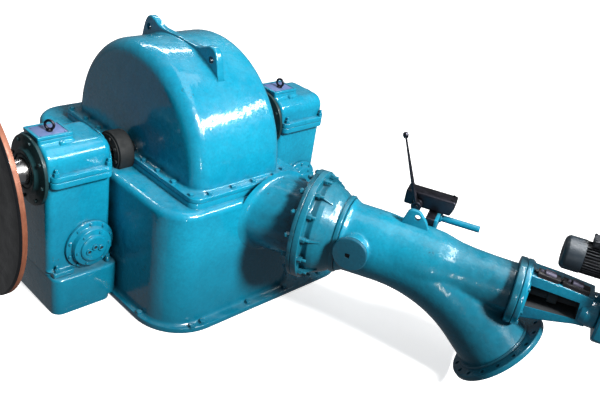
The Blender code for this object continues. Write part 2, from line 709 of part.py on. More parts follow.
def build_elbow(frame):
    length = BEND_RADIUS * BEND_ANGLE + BEND_TAIL
    outer = bend_stations(0.0)
    inner = [(outer[0][0] - 0.02, PIPE_R - PIPE_WALL)] + bend_stations(-PIPE_WALL)[3:]
    inner.append((length + 0.03, MOUTH_R - PIPE_WALL))
    elbow = to_object("inlet_elbow", bend_solid(outer), "machine_blue", frame)
    clearance = lathe([(SLEEVE_END, PAIR_R + 0.004), (SLEEVE_END + 0.04, PAIR_R + 0.004)], "X", 32)
    combine(elbow, clearance, "DIFFERENCE")
    combine(elbow, inlet_flange(), "UNION")
    combine(elbow, bend_sleeve(0.0), "UNION")
    branch = lathe([(-0.190, 0.066), (-0.05, 0.066)], "Y", 36, HAND_HOLE_AT)
    combine(elbow, branch, "UNION")
    ring = lathe([(-0.196, HAND_HOLE_R - 0.0005), (-0.184, HAND_HOLE_R - 0.0005)], "Y", 40, HAND_HOLE_AT)
    combine(elbow, ring, "UNION")
    combine(elbow, bend_solid(inner), "DIFFERENCE")
    hand_hole = lathe([(-0.21, 0.052), (-0.1, 0.052)], "Y", 36, HAND_HOLE_AT)
    combine(elbow, hand_hole, "DIFFERENCE")
    tidy(elbow)

    cover = lathe([(-0.2120, HAND_HOLE_R - 0.003), (-0.2100, HAND_HOLE_R), (-0.196 - GAP, HAND_HOLE_R)], "Y", 44,
                  HAND_HOLE_AT)
    cover = to_object("hand_hole_cover", cover, "machine_blue", frame)
    recess = box(0.231, 0.253, -0.23, -0.204, 0.014, 0.036)
    combine(cover, recess, "DIFFERENCE")
    tidy(cover)

    lug = rounded_outline([(0.40, 0.13, 0.0), (0.555, 0.10, 0.0), (0.515, 0.185, 0.02), (0.478, 0.226, 0.03),
                           (0.428, 0.226, 0.024)])
    lug = to_object("elbow_lifting_lug", prism(lug, -0.011, 0.011, "Y"), "machine_blue", frame)
    cut_to_bend(lug)
    eye = lathe([(-0.1, 0.0135), (0.1, 0.0135)], "Y", 24, (0.472, 0.0, 0.196))
    combine(lug, eye, "DIFFERENCE")
    tidy(lug)
    return elbow


def build_yoke(frame):
    """Casting with an open window that joins the sleeve to the gear case."""
    start = SLEEVE_END + GAP
    yoke = lathe([(start, PAIR_R), (start + 0.0257, PAIR_R), (start + 0.026, 0.122), (start + 0.034, 0.112)], "X", 32)
    yoke = to_object("needle_yoke", yoke, "machine_blue", frame)
    body = [(0.99, -0.098), (1.123, -0.067), (1.223, -0.042), (1.262, -0.040), (1.262, 0.104), (1.12, 0.119),
            (0.99, 0.125)]
    combine(yoke, prism(body, -YOKE_HALF_Y, YOKE_HALF_Y, "Y"), "UNION")
    barrel = lathe([(1.235, 0.076), (GEAR_START, 0.078)], "X", 40, (0.0, 0.0, 0.020))
    combine(yoke, barrel, "UNION")
    window = [(1.008, -0.030), (1.220, -0.016), (1.214, 0.068), (1.008, 0.078)]
    combine(yoke, prism(window, -0.2, 0.046, "Y"), "DIFFERENCE")
    tidy(yoke)


def build_switch(frame, name, low, high, base):
    """Limit switch with its plunger cap, trimmed to the yoke's sloping top."""
    switch = box(low, high, -0.056, -0.008, base - 0.012, base + 0.018, 0.002, 1)
    switch = to_object(name, switch, "switch_black", frame)
    head = box(low + 0.026, high - 0.021, -0.048, -0.016, base + 0.014, base + 0.029, 0.002, 1)
    combine(switch, head, "UNION")
    under = [(0.96, -0.2), (1.262 + GAP, -0.2), (1.262 + GAP, 0.104 + GAP), (1.12, 0.119 + GAP), (0.96, 0.1265 + GAP)]
    combine(switch, prism(under, -0.1, 0.1, "Y"), "DIFFERENCE")
    tidy(switch)


def build_motor(frame):
    """Small finned motor over the yoke, with its fan cowl and terminal box."""
    body = lathe([(1.165, MOTOR_R - 0.013), (1.262, MOTOR_R - 0.013), (1.2625, MOTOR_R), (GEAR_START, MOTOR_R)],
                 "X", 28)
    motor = to_object("motor_body", body, "motor_slate", frame)
    motor.location = (0.0, 0.0, MOTOR_Z)
    for k in range(20):
        a = 2 * math.pi * k / 20
        fin = box(1.167, 1.264, MOTOR_R - 0.019, MOTOR_R - 0.003, -0.0022, 0.0022)
        fin.transform(Matrix.Rotation(a, 4, "X"))
        combine(motor, fin, "UNION")
    tidy(motor)
    cowl = lathe([(1.081, MOTOR_R - 0.022), (1.084, MOTOR_R - 0.010), (1.091, MOTOR_R - 0.002),
                  (1.102, MOTOR_R), (1.165 - GAP, MOTOR_R)], "X", 32)
    cowl = to_object("motor_fan_cowl", cowl, "motor_slate", frame)
    cowl.location = (0.0, 0.0, MOTOR_Z)
    terminal = box(1.180, 1.248, -0.036, 0.036, MOTOR_R - 0.003 + GAP, MOTOR_R + 0.028, 0.004, 2)
    terminal = to_object("motor_terminal_box", terminal, "motor_slate", frame)
    terminal.location = (0.0, 0.0, MOTOR_Z)


def build_needle_drive(frame):
    build_yoke(frame)
    build_switch(frame, "limit_switch_a", 1.017, 1.112, 0.122)
    build_switch(frame, "limit_switch_b", 1.121, 1.236, 0.115)
    gear = box(GEAR_START + GAP, 1.425, -0.095, 0.095, -0.085, 0.345, 0.02, 3)
    to_object("gear_case", gear, "machine_blue", frame)
    build_motor(frame)


def build_deflector_gear(frame):
    """Hand lever, its case over the bend, and the tube that the case's rod runs in."""
    case_low, case_near = 0.150, 0.182
    bracket = box(0.495, 0.535, 0.10, 0.235, 0.05, case_low - GAP, 0.004, 1)
    bracket = to_object("deflector_bracket", bracket, "dark_steel", frame)
    cut_to_bend(bracket)
    tidy(bracket)
    outline = rounded_outline([(0.372, case_low, 0.006), (0.590, case_low, 0.006), (0.603, 0.187, 0.006),
                               (0.603, 0.222, 0.006), (0.372, 0.222, 0.006)], 3)
    case = to_object("deflector_case", prism(outline, case_near, 0.262, "Y"), "dark_steel", frame)
    pin = lathe([(0.14, 0.012), (case_near + 0.02, 0.012)], "Y", 24, (LEVER_AT[0], 0.0, LEVER_AT[2]))
    combine(case, pin, "UNION")
    tidy(case)
    tube = lathe([(0.545, 0.016), (0.733, 0.016), (0.737, 0.0135)], "X", 28, (0.0, 0.205, 0.119))
    tube = to_object("deflector_cylinder", tube, "machine_blue", frame)
    clamp = box(0.535 + GAP, 0.552, 0.10, 0.235, 0.07, case_low - GAP, 0.003, 1)
    combine(tube, clamp, "UNION")
    cut_to_bend(tube)
    tidy(tube)
    hub = tube_lathe([(-0.012, 0.012 + RUN), (-0.012, 0.024), (0.012, 0.024), (0.012, 0.012 + RUN)], 28)
    lever = to_object("deflector_lever", hub, "dark_steel", frame)
    top = LEVER_LENGTH
    rod = lathe([(0.019, 0.010), (0.06, 0.010), (top - 0.02, 0.0048), (top - 0.018, 0.008), (top - 0.012, 0.0120),
                 (top - 0.004, 0.0135), (top + 0.004, 0.0120), (top + 0.009, 0.008), (top + 0.011, 0.003)], "Z", 20)
    combine(lever, rod, "UNION")
    tidy(lever)
    lever.location = LEVER_AT
    lever.rotation_euler = (0.0, LEVER_LEAN, 0.0)


def main():
    for obj in list(bpy.data.objects):
        bpy.data.objects.remove(obj, do_unlink=True)
    root = empty("turbine_set", (SHIFT_X, SHIFT_Y, 0.0))
    build_lower_casing(root)
    build_upper_cover(root)
    build_lifting_plate(root)
    build_shaft_seal(root, "near_shaft_seal", -1)
    build_shaft_seal(root, "far_shaft_seal", 1)
    build_rotor(root)
    for tag, y in zip(("near", "far"), BEARING_Y):
        build_bearing(root, tag, y)
        build_end_seal(root, tag + "_outer_seal", y + HOUSING_START - GAP, y + HOUSING_START - 0.034, 0.156)
        build_end_seal(root, tag + "_inner_seal", y + HOUSING_END + GAP, y + HOUSING_END + 0.0155, 0.12)
    frame = empty("nozzle_line", NOZZLE_AT, root, NOZZLE_YAW)
    build_nozzle(frame)
    build_elbow(frame)
    build_needle_drive(frame)
    build_deflector_gear(frame)


main()
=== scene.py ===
import json
import math

import bmesh
import bpy
from mathutils import Matrix, Vector


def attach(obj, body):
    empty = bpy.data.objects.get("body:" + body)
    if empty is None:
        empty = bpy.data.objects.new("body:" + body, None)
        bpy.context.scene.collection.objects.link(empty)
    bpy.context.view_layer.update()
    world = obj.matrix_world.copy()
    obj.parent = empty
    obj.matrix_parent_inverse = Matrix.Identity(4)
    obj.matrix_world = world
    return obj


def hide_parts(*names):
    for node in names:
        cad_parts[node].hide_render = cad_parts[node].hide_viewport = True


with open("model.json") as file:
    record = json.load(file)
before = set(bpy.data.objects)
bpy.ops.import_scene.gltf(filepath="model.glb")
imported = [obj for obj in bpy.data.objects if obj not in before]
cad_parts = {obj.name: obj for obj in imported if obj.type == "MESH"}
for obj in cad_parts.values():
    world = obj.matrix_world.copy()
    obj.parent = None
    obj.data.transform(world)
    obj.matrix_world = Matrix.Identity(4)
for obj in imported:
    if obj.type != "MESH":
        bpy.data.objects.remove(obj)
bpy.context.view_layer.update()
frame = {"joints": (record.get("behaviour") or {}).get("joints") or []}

# All lengths are in metres. The machine's own origin is on the floor under the shaft, in the runner's plane:
# it is read from the rotor's joint, and the nozzle line's yaw from the deflector lever's joint.
JOINTS = {joint["name"]: joint for joint in frame["joints"]}
SHAFT_POINT = Vector(JOINTS["rotor_spin"]["pos_m"])
SHAFT_Z = SHAFT_POINT.z
LEVER_AXIS = Vector(JOINTS["deflector_lever_swing"]["axis"])
NOZZLE_AT = (0.7485, 0.2456, 0.5054)
NOZZLE_YAW = math.atan2(-LEVER_AXIS.x, LEVER_AXIS.y)
MACHINE = Matrix.Translation((SHAFT_POINT.x, SHAFT_POINT.y, 0.0))
NOZZLE = MACHINE @ Matrix.Translation(NOZZLE_AT) @ Matrix.Rotation(NOZZLE_YAW, 4, "Z")

# Camera that took the photo, in the machine's own frame
CAMERA_AT = Vector((2.7248, -2.0835, 2.2632))
CAMERA_RIGHT = Vector((0.68271, 0.71465, 0.15238))
CAMERA_UP = Vector((-0.44180, 0.23759, 0.86509))
CAMERA_BACK = Vector((0.58202, -0.65791, 0.47792))
CAMERA_LENS, SENSOR_WIDTH = 45.62, 36.0

# Clearance between parts that touch, and the radius that closes a turned form on its axis
GAP = 0.0003
ON_AXIS = 0.001

# Shaft: in the bearings, and through the casing
JOURNAL_R = 0.055
SHAFT_R = 0.042

# Upper cover and lower casing; boxes are (x0, x1, y0, y1)
DRUM_R = 0.503
DRUM_HALF_W = 0.248
DRUM_EDGE_R = 0.075
DRUM_WALL = 0.018
SPLIT_Z = 0.640
FLANGE_TOP_Z = 0.662
FLANGE_X, FLANGE_Y, FLANGE_CORNER_R = 0.55, 0.288, 0.05
BOX = (-0.69, 0.585, -0.41, 0.43)
BOX_TOP_Z = 0.614
BOX_CORNER_R = 0.16
BOX_WALL = 0.022
FOOT_T = 0.028

# Bearings: name and place along the shaft; the rest is measured from there
BEARINGS = (("near", -0.66), ("far", 0.66))
HOUSING_HALF_X = 0.14
HOUSING_START, HOUSING_END = -0.08, 0.232
CAP_TOP_Z = 0.802
PLINTH_H = 0.19
PLINTH_END, PLINTH_OVER_FOOT_END = 0.2172, 0.2495
PORT_Y, PORT_Z = 0.118, 0.308
PLATE_Z = 0.824

# Nozzle line, measured along the jet from the nozzle flange
NOZZLE_FLANGE_R = 0.255
NECK_FLANGE_T = 0.020
BELL_END = 0.175
PIPE_R, WAIST_R, MOUTH_R = 0.160, 0.141, 0.165
PIPE_WALL = 0.014
BEND_START, BEND_RADIUS, BEND_TAIL = 0.3117, 0.76, 0.1896
BEND_ANGLE = math.radians(42.5)
BEND_LENGTH = BEND_RADIUS * BEND_ANGLE + BEND_TAIL
INLET_FLANGE_R, INLET_FLANGE_T, INLET_FLANGE_RISE = 0.228, 0.026, 0.012
SLEEVE_END = 0.972
PAIR_R = 0.148
HAND_HOLE_AT = (0.250, 0.0, 0.032)
HAND_HOLE_R = 0.0795
GEAR_START = 1.300
MOTOR_Z, MOTOR_R = 0.248, 0.072
LEVER_AT = (0.436, 0.158, 0.165)
LEVER_LEAN = math.radians(-20.95)
LEVER_LENGTH = 0.347


# Node materials

class Nodes:
    """Node tree of one material: each method adds a node and returns its output."""

    def __init__(self, name):
        self.mat = bpy.data.materials.new(name)
        self.mat.use_nodes = True
        self.tree = self.mat.node_tree
        self.shader = self.tree.nodes["Principled BSDF"].inputs
        self.place = self.tree.nodes.new("ShaderNodeTexCoord").outputs["Object"]

    def feed(self, socket, value):
        """Sets a number, vector or colour on a socket, or links an output to it."""
        if isinstance(value, bpy.types.NodeSocket):
            self.tree.links.new(value, socket)
        else:
            socket.default_value = (*value, 1.0) if socket.type == "RGBA" else value

    def add(self, kind, values=None, **settings):
        node = self.tree.nodes.new(kind)
        for key, value in settings.items():
            setattr(node, key, value)
        for key, value in (values or {}).items():
            self.feed(node.inputs[key], value)
        return node

    def noise(self, scale, detail=3.0, rough=0.5, distortion=0.0, at=None):
        values = {"Scale": scale, "Detail": detail, "Roughness": rough, "Distortion": distortion,
                  "Vector": at or self.place}
        return self.add("ShaderNodeTexNoise", values).outputs["Fac"]

    def stretched(self, scale):
        return self.add("ShaderNodeMapping", {"Scale": scale, "Vector": self.place}).outputs["Vector"]

    def spread(self, source, low, high, to_low=0.0, to_high=1.0):
        """Maps low..high to another range and clamps it."""
        return self.add("ShaderNodeMapRange", {"Value": source, "From Min": low, "From Max": high,
                                               "To Min": to_low, "To Max": to_high}).outputs["Result"]

    def math(self, operation, a, b):
        node = self.add("ShaderNodeMath", operation=operation)
        self.feed(node.inputs[0], a)
        self.feed(node.inputs[1], b)
        return node.outputs["Value"]

    def times(self, a, b):
        return self.math("MULTIPLY", a, b)

    def plus(self, a, b):
        return self.math("ADD", a, b)

    def mix(self, factor, a, b):
        values = {"Factor": factor, "A": a, "B": b}
        return self.add("ShaderNodeMix", values, data_type="RGBA").outputs["Result"]

    def bumps(self, *layers, socket="Normal"):
        """Stacks bump layers given as (height source, distance, strength)."""
        normal = None
        for height, distance, strength in layers:
            node = self.add("ShaderNodeBump", {"Height": height, "Distance": distance, "Strength": strength})
            if normal:
                self.feed(node.inputs["Normal"], normal)
            normal = node.outputs["Normal"]
        self.feed(self.shader[socket], normal)

    def crevice(self, reach):
        """1 deep in corners, 0 on open faces."""
        node = self.add("ShaderNodeAmbientOcclusion", {"Distance": reach}, samples=6)
        return self.spread(node.outputs["AO"], 0.35, 0.9, 1.0, 0.0)

    def part(self, axis, vector=None):
        """One component of a vector, which is the place in the shared frame unless another is given."""
        return self.add("ShaderNodeSeparateXYZ", {"Vector": vector or self.place}).outputs[axis]

    def dust(self, scale, low, amount):
        """Uneven powder on faces that look up."""
        up = self.part("Z", self.add("ShaderNodeNewGeometry").outputs["Normal"])
        patches = self.spread(self.noise(scale, 5.0, 0.65), low, 0.75, 0.0, amount)
        return self.times(self.spread(up, 0.55, 1.0), patches)

    def surface(self, tone, rough, fixed, *layers):
        """Feeds the shader with colour, roughness, values that hold all over, and bumps."""
        for key, value in {"Base Color": tone, "Roughness": rough, **fixed}.items():
            self.feed(self.shader[key], value)
        self.bumps(*layers)
        return self.mat


def scaled(colour, factor, lift=0.0):
    return tuple(c * factor + lift for c in colour)


def enamel(name, colour, deep, roughness, grain=1.0, dust=0.10, coat=0.9, corner_shade=0.78, shade_tint=None,
           shade_tint_x=(0.50, 0.92)):
    """Glossy brushed-on enamel over rough casting. deep is the colour's darker tone, corner_shade the painted
    shade in corners, and shade_tint a darker colour, painted shade, that takes over along X between two
    places."""
    n = Nodes(name)
    tone = n.mix(n.spread(n.noise(3.1, 4.0), 0.35, 0.68), colour, deep)
    # Painted shade: a darker colour takes over from one place along X onwards
    if shade_tint:
        place = n.plus(n.part("X"), n.spread(n.noise(5.0, 4.0), 0.3, 0.7, -0.06, 0.06))
        tone = n.mix(n.spread(place, *shade_tint_x), tone, shade_tint)
    # Light streaks and dark mottling
    tone = n.mix(n.spread(n.noise(26.0, 3.0, 0.6, 0.4), 0.35, 0.7, 0.0, 0.24), tone, scaled(colour, 1.25))
    tone = n.mix(n.spread(n.noise(85.0, 4.0, 0.7), 0.42, 0.66, 0.0, 0.34), tone, scaled(deep, 0.62))
    # Painted shade in corners and creases, painted shade darker towards the floor, dust on top, small chips
    painted_shade = n.times(n.crevice(0.045), n.spread(n.noise(17.0, 4.0), 0.3, 0.7, 0.35, 1.0))
    tone = n.mix(n.times(painted_shade, corner_shade), tone, scaled(deep, 0.12, 0.004))
    # Painted shade: the colour darkens towards the floor
    low = n.plus(n.part("Z"), n.spread(n.noise(4.3, 3.0), 0.3, 0.7, -0.08, 0.08))
    tone = n.mix(n.spread(low, 0.0, 0.60, 0.84, 0.0), tone, scaled(deep, 0.35))
    powder = n.dust(9.0, 0.42, dust)
    tone = n.mix(powder, tone, (0.62, 0.66, 0.64))
    chips = n.spread(n.times(n.noise(58.0, 3.0, 0.7), n.noise(5.3, 2.0)), 0.435, 0.455)
    tone = n.mix(n.times(chips, 0.6), tone, (0.03, 0.05, 0.06))
    rough = n.plus(n.spread(n.noise(21.0, 4.0), 0.3, 0.7, roughness - 0.06, roughness + 0.12),
                   n.times(n.plus(powder, painted_shade), 0.35))
    # The coat follows only the coarse unevenness, so that its highlights stay crisp
    wave = n.noise(7.5, 2.0, 0.4)
    n.bumps((wave, 0.004 * grain, 0.4), (n.noise(30.0, 2.0), 0.0024 * grain, 0.5),
            (n.noise(95.0, 2.0), 0.0006 * grain, 0.5), socket="Coat Normal")
    return n.surface(tone, rough, {"Coat Weight": coat, "Coat Roughness": 0.06, "Specular IOR Level": 0.22},
                     (wave, 0.006 * grain, 0.45), (n.noise(48.0, 3.0), 0.0016 * grain, 0.6),
                     (n.noise(310.0, 4.0, 0.6), 0.0004 * grain, 0.5))


def bare_metal(name, colour, roughness, oil=0.4, lined=False):
    """Machined or oiled steel, with fine turning lines along Y where it is lined."""
    n = Nodes(name)
    tone = n.mix(n.spread(n.noise(14.0, 5.0, 0.6), 0.4, 0.72, 0.0, oil), colour, scaled(colour, 0.25))
    # Painted shade in corners and creases
    tone = n.mix(n.times(n.crevice(0.03), 0.7), tone, (0.01, 0.009, 0.008))
    rough = n.spread(n.noise(33.0, 4.0), 0.3, 0.7, roughness - 0.08, roughness + 0.12)
    lines = n.noise(620.0, 2.0, at=n.stretched((0.02, 1.0, 0.02))) if lined else n.noise(240.0, 3.0, 0.6)
    return n.surface(tone, rough, {"Metallic": 1.0}, (lines, 0.0003, 0.4))


def flat_paint(name, colour, roughness, speckle, dust=0.14):
    """Dull paint or moulded plastic with fingermarks, dust and a fine grain."""
    n = Nodes(name)
    marks = n.spread(n.noise(19.0, 5.0, 0.6), 0.4, 0.75, 0.0, speckle)
    tone = n.mix(marks, colour, scaled(colour, 2.1, 0.02))
    tone = n.mix(n.dust(12.0, 0.4, dust), tone, (0.5, 0.5, 0.48))
    # Painted shade in corners and creases
    tone = n.mix(n.times(n.crevice(0.03), 0.7), tone, scaled(colour, 0.15))
    rough = n.spread(n.noise(30.0, 4.0), 0.3, 0.7, roughness - 0.08, roughness + 0.14)
    return n.surface(tone, rough, {}, (n.noise(60.0, 3.0), 0.00072, 0.4),
                     (n.noise(420.0, 3.0), 0.00018, 0.5))


def primer_rim(name):
    """Copper-orange primer with brush streaks round the wheel and rust freckles."""
    n = Nodes(name)
    streak = n.noise(70.0, 4.0, 0.6, 0.3, n.stretched((0.25, 1.6, 0.25)))
    tone = n.mix(n.spread(streak, 0.35, 0.7), (0.32, 0.115, 0.060), (0.22, 0.070, 0.038))
    rust = n.spread(n.noise(24.0, 5.0, 0.7), 0.55, 0.68)
    tone = n.mix(n.times(rust, 0.55), tone, (0.14, 0.035, 0.016))
    return n.surface(tone, n.spread(n.noise(40.0, 4.0), 0.3, 0.7, 0.34, 0.6), {"Metallic": 0.25},
                     (streak, 0.0008, 0.4), (n.noise(260.0, 4.0), 0.0003, 0.5))


def pale_floor():
    """Nearly even floor that glows a little, so that it stays pale between the lamps."""
    n = Nodes("pale_floor")
    tone = n.mix(n.spread(n.noise(0.8, 3.0), 0.3, 0.7), (0.86, 0.86, 0.86), (0.82, 0.82, 0.825))
    fixed = {"Roughness": 0.9, "Emission Color": (1.0, 1.0, 1.0), "Emission Strength": 0.70}
    for key, value in {"Base Color": tone, **fixed}.items():
        n.feed(n.shader[key], value)
    return n.mat


MATERIALS = {
    "blue": enamel("machine_enamel", (0.006, 0.325, 0.500), (0.004, 0.245, 0.400), 0.24),
    # Copy of the blue with painted shade: a darker colour takes over further out along X, on the bend and its
    # flanges
    "deep": enamel("machine_enamel_shade_painted", (0.006, 0.315, 0.480), (0.004, 0.245, 0.400), 0.26,
                   coat=0.4, corner_shade=0.45, shade_tint=(0.012, 0.135, 0.200)),
    # Darker copy of the blue, painted shade on the nozzle's bell, studs and ribs
    "shaded_blue": enamel("nozzle_enamel_shade_painted", (0.009, 0.225, 0.340), (0.007, 0.150, 0.235), 0.27, coat=0.6, corner_shade=0.88),
    # The blue with painted shade: a darker colour takes over along the neck towards the nozzle flange
    "neck": enamel("neck_enamel_shade_painted", (0.006, 0.325, 0.500), (0.004, 0.245, 0.400), 0.25, dust=0.03,
                   coat=0.6, corner_shade=0.88, shade_tint=(0.012, 0.060, 0.085), shade_tint_x=(-0.10, 0.10)),
    # Darker copy of the blue, painted shade on the hand hole lid
    "lid": enamel("lid_enamel_shade_painted", (0.010, 0.135, 0.215), (0.008, 0.105, 0.170), 0.28),
    # Near-black blue, painted shade on the bearings' outer end covers
    "painted_shade": enamel("end_cover_shade_painted", (0.012, 0.048, 0.056), (0.010, 0.032, 0.036), 0.42, coat=0.25),
    "black": enamel("black_enamel", (0.010, 0.011, 0.013), (0.006, 0.007, 0.009), 0.34, 0.8, 0.05, 0.25),
    "rim": primer_rim("rim_primer"),
    "dark": bare_metal("oiled_dark_steel", (0.055, 0.055, 0.070), 0.36),
    "steel": bare_metal("turned_steel", (0.50, 0.50, 0.50), 0.28, 0.3, lined=True),
    "bronze": bare_metal("runner_bronze", (0.47, 0.29, 0.11), 0.36, 0.5),
    "violet": flat_paint("cover_plate_paint", (0.115, 0.175, 0.390), 0.42, 0.25),
    "slate": flat_paint("motor_enamel", (0.014, 0.027, 0.040), 0.38, 0.35),
    "slate_dark": flat_paint("motor_casting", (0.014, 0.019, 0.028), 0.45, 0.3),
    "plastic": flat_paint("switch_plastic", (0.016, 0.016, 0.020), 0.45, 0.25),
    "lilac": flat_paint("switch_caps", (0.20, 0.19, 0.28), 0.48, 0.25),
    # Near black, painted shade on the shaft seal covers between the cover and the bearings
    "shaded_seal": flat_paint("seal_shade_painted", (0.004, 0.006, 0.007), 0.72, 0.06, dust=0.01),
    # Near black, painted shade in the port's holes, the lid's socket and behind the fan grille
    "hollow": flat_paint("hollow_shade_painted", (0.006, 0.007, 0.009), 0.7, 0.1),
    "shade": flat_paint("unlit_interior", (0.034, 0.040, 0.046), 0.95, 0.05, dust=0.0),
}


# Mesh tools

def circle(radius, count, start=0.0):
    angles = [start + 2 * math.pi * k / count for k in range(count)]
    return [(radius * math.cos(a), radius * math.sin(a)) for a in angles]


def quarter(steps):
    """Sine and cosine over a quarter turn, for rounded edges and coves."""
    angles = [math.pi / 2 * k / steps for k in range(steps + 1)]
    return [(math.sin(a), math.cos(a)) for a in angles]


def corner_arc(before, here, after, radius, steps):
    """Points that round one corner of a 2D line."""
    here = Vector(here[:2])
    to_a = (Vector(before[:2]) - here)
    to_b = (Vector(after[:2]) - here)
    if to_a.length < 1e-7 or to_b.length < 1e-7:
        return [here]
    limit = 0.49 * min(to_a.length, to_b.length)
    to_a.normalize()
    to_b.normalize()
    angle = math.acos(max(-1.0, min(1.0, to_a.dot(to_b))))
    if radius <= 0 or angle > math.radians(176) or angle < math.radians(4):
        return [here]
    reach = min(radius / math.tan(angle / 2), limit)
    radius = reach * math.tan(angle / 2)
    centre = here + (to_a + to_b).normalized() * (radius / math.sin(angle / 2))
    start = here + to_a * reach - centre
    end = here + to_b * reach - centre
    turn = math.atan2(start.x * end.y - start.y * end.x, start.dot(end))
    points = []
    for k in range(steps + 1):
        a = turn * k / steps
        c, s = math.cos(a), math.sin(a)
        points.append(centre + Vector((start.x * c - start.y * s, start.x * s + start.y * c)))
    return points


def outline(corners, steps=6):
    """Closed 2D outline from (x, y, radius) corners."""
    points = []
    for i, corner in enumerate(corners):
        points += corner_arc(corners[i - 1], corner, corners[(i + 1) % len(corners)], corner[2], steps)
    return points


def rounded(profile, radius, steps):
    """Open 2D line with its inner corners rounded; a third number in a point is its own radius."""
    points = [Vector(profile[0][:2])]
    for before, here, after in zip(profile, profile[1:], profile[2:]):
        points += corner_arc(before, here, after, here[2] if len(here) > 2 else radius, steps)
    return points + [Vector(profile[-1][:2])]


def rectangle(x0, x1, y0, y1, radius, steps=8):
    return outline([(x0, y0, radius), (x1, y0, radius), (x1, y1, radius), (x0, y1, radius)], steps)


def level(z, *sizes):
    """Rounded rectangle of points at one height."""
    return [(p.x, p.y, z) for p in rectangle(*sizes)]


def skin(rings, loop=False, caps=True):
    """Skins equal rings of points: closed by caps, looped into itself, or open."""
    bm = bmesh.new()
    made = [[bm.verts.new(p) for p in ring] for ring in rings]
    pairs = list(zip(made, made[1:]))
    if loop:
        pairs.append((made[-1], made[0]))
    for a, b in pairs:
        for i in range(len(a)):
            j = (i + 1) % len(a)
            bm.faces.new((a[i], a[j], b[j], b[i]))
    if caps and not loop:
        bm.faces.new(made[0])
        bm.faces.new(list(reversed(made[-1])))
    bmesh.ops.remove_doubles(bm, verts=bm.verts, dist=1e-6)
    bmesh.ops.recalc_face_normals(bm, faces=bm.faces)
    return bm


def on_axis(axis, along, u, v):
    """Point from its distance along an axis and its place across it."""
    return {"X": (along, u, v), "Y": (v, along, u), "Z": (u, v, along)}[axis]


def turned(profile, sides=64, axis="X", loop=False, caps=True):
    """Surface turned about an axis from (distance, radius) points."""
    rings = [[on_axis(axis, along, u, v) for u, v in circle(radius, sides)] for along, radius in profile]
    return skin(rings, loop, caps)


def lathe(points, edge, steps, sides, axis="X", ring=False):
    """Turned solid, or ring with a hole, from (distance, radius) points with rounded corners."""
    points = list(points)
    if not ring:
        points.insert(0, (points[0][0], ON_AXIS))
        if points[-1][1] > ON_AXIS:
            points.append((points[-1][0], ON_AXIS))
    return turned(rounded(points, edge, steps) if edge else points, sides, axis, loop=ring)


def rod(start, end, radius, edge, steps, sides, axis="X"):
    """Solid cylinder between two places on its axis."""
    return lathe([(start, radius), (end, radius)], edge, steps, sides, axis)


def collar(start, end, inner, outer, edge, steps, sides, axis="X"):
    """Ring with a plain hole."""
    points = [(start, inner), (start, outer), (end, outer), (end, inner)]
    return lathe(points, edge, steps, sides, axis, ring=True)


def drill(radius, sides, axis="X", reach=0.1):
    """Cylinder to cut a hole with, centred on its place."""
    return turned([(-reach, radius), (reach, radius)], sides, axis)


def shifted(points, distance):
    """Outline moved inwards by a distance along its own normals (counter-clockwise outlines)."""
    result = []
    for i, point in enumerate(points):
        before = point - points[i - 1]
        after = points[(i + 1) % len(points)] - point
        edge = Vector((-after.y, after.x)).normalized()
        normal = Vector((-before.y, before.x)).normalized() + edge
        if normal.length < 1e-6:
            result.append(point.copy())
        else:
            normal.normalize()
            result.append(point + normal * (distance / max(0.35, normal.dot(edge))))
    return result


def slab(points, low, high, edge, steps=3, axis="Z", both=True, top_edge=None):
    """Plate on an outline with rounded rims."""
    levels = []
    if both:
        for k in range(steps + 1):
            a = math.pi / 2 * (1 - k / steps)
            levels.append((low + edge * (1 - math.sin(a)), edge * (1 - math.cos(a))))
    else:
        levels.append((low, 0.0))
    edge = top_edge or edge
    levels += [(high - edge + edge * s, edge * (1 - c)) for s, c in quarter(steps)]
    rings = []
    for height, inset in levels:
        ring = shifted(points, inset) if inset > 1e-7 else points
        rings.append([(p.x, p.y, height) if axis == "Z" else (p.x, height, p.y) for p in ring])
    return skin(rings)


def block(x0, x1, y0, y1, z0, z1, edge=0.003, segments=3):
    bm = bmesh.new()
    size = Matrix.Diagonal((x1 - x0, y1 - y0, z1 - z0, 1.0))
    bmesh.ops.create_cube(bm, size=1.0, matrix=at((x0 + x1) / 2, (y0 + y1) / 2, (z0 + z1) / 2) @ size)
    if edge > 0:
        bmesh.ops.bevel(bm, geom=bm.edges[:], offset=edge, segments=segments, profile=0.5, affect="EDGES")
    return bm


def joined(*meshes):
    """One bmesh from several, each left as it is."""
    whole = bmesh.new()
    for bm in meshes:
        mesh = bpy.data.meshes.new("part")
        bm.to_mesh(mesh)
        bm.free()
        whole.from_mesh(mesh)
        bpy.data.meshes.remove(mesh)
    return whole


def moved(bm, *matrices):
    for matrix in matrices:
        bm.transform(matrix)
    return bm


def at(x, y, z):
    return Matrix.Translation((x, y, z))


def pointing(place, direction):
    """Matrix that puts something modelled along +Z at a place, along a direction."""
    return at(*place) @ Vector((0, 0, 1)).rotation_difference(Vector(direction)).to_matrix().to_4x4()


def throwaway(bm):
    """Object for modifiers to work on."""
    mesh = bpy.data.meshes.new("work")
    bm.to_mesh(mesh)
    bm.free()
    obj = bpy.data.objects.new("work", mesh)
    bpy.context.scene.collection.objects.link(obj)
    return obj


def applied(*objects):
    """Bmesh of the first object with its modifiers; all the objects are removed."""
    bpy.context.view_layer.update()
    graph = bpy.context.evaluated_depsgraph_get()
    result = bpy.data.meshes.new_from_object(objects[0].evaluated_get(graph))
    made = bmesh.new()
    made.from_mesh(result)
    for mesh in [result] + [obj.data for obj in objects]:
        bpy.data.meshes.remove(mesh)
    return made


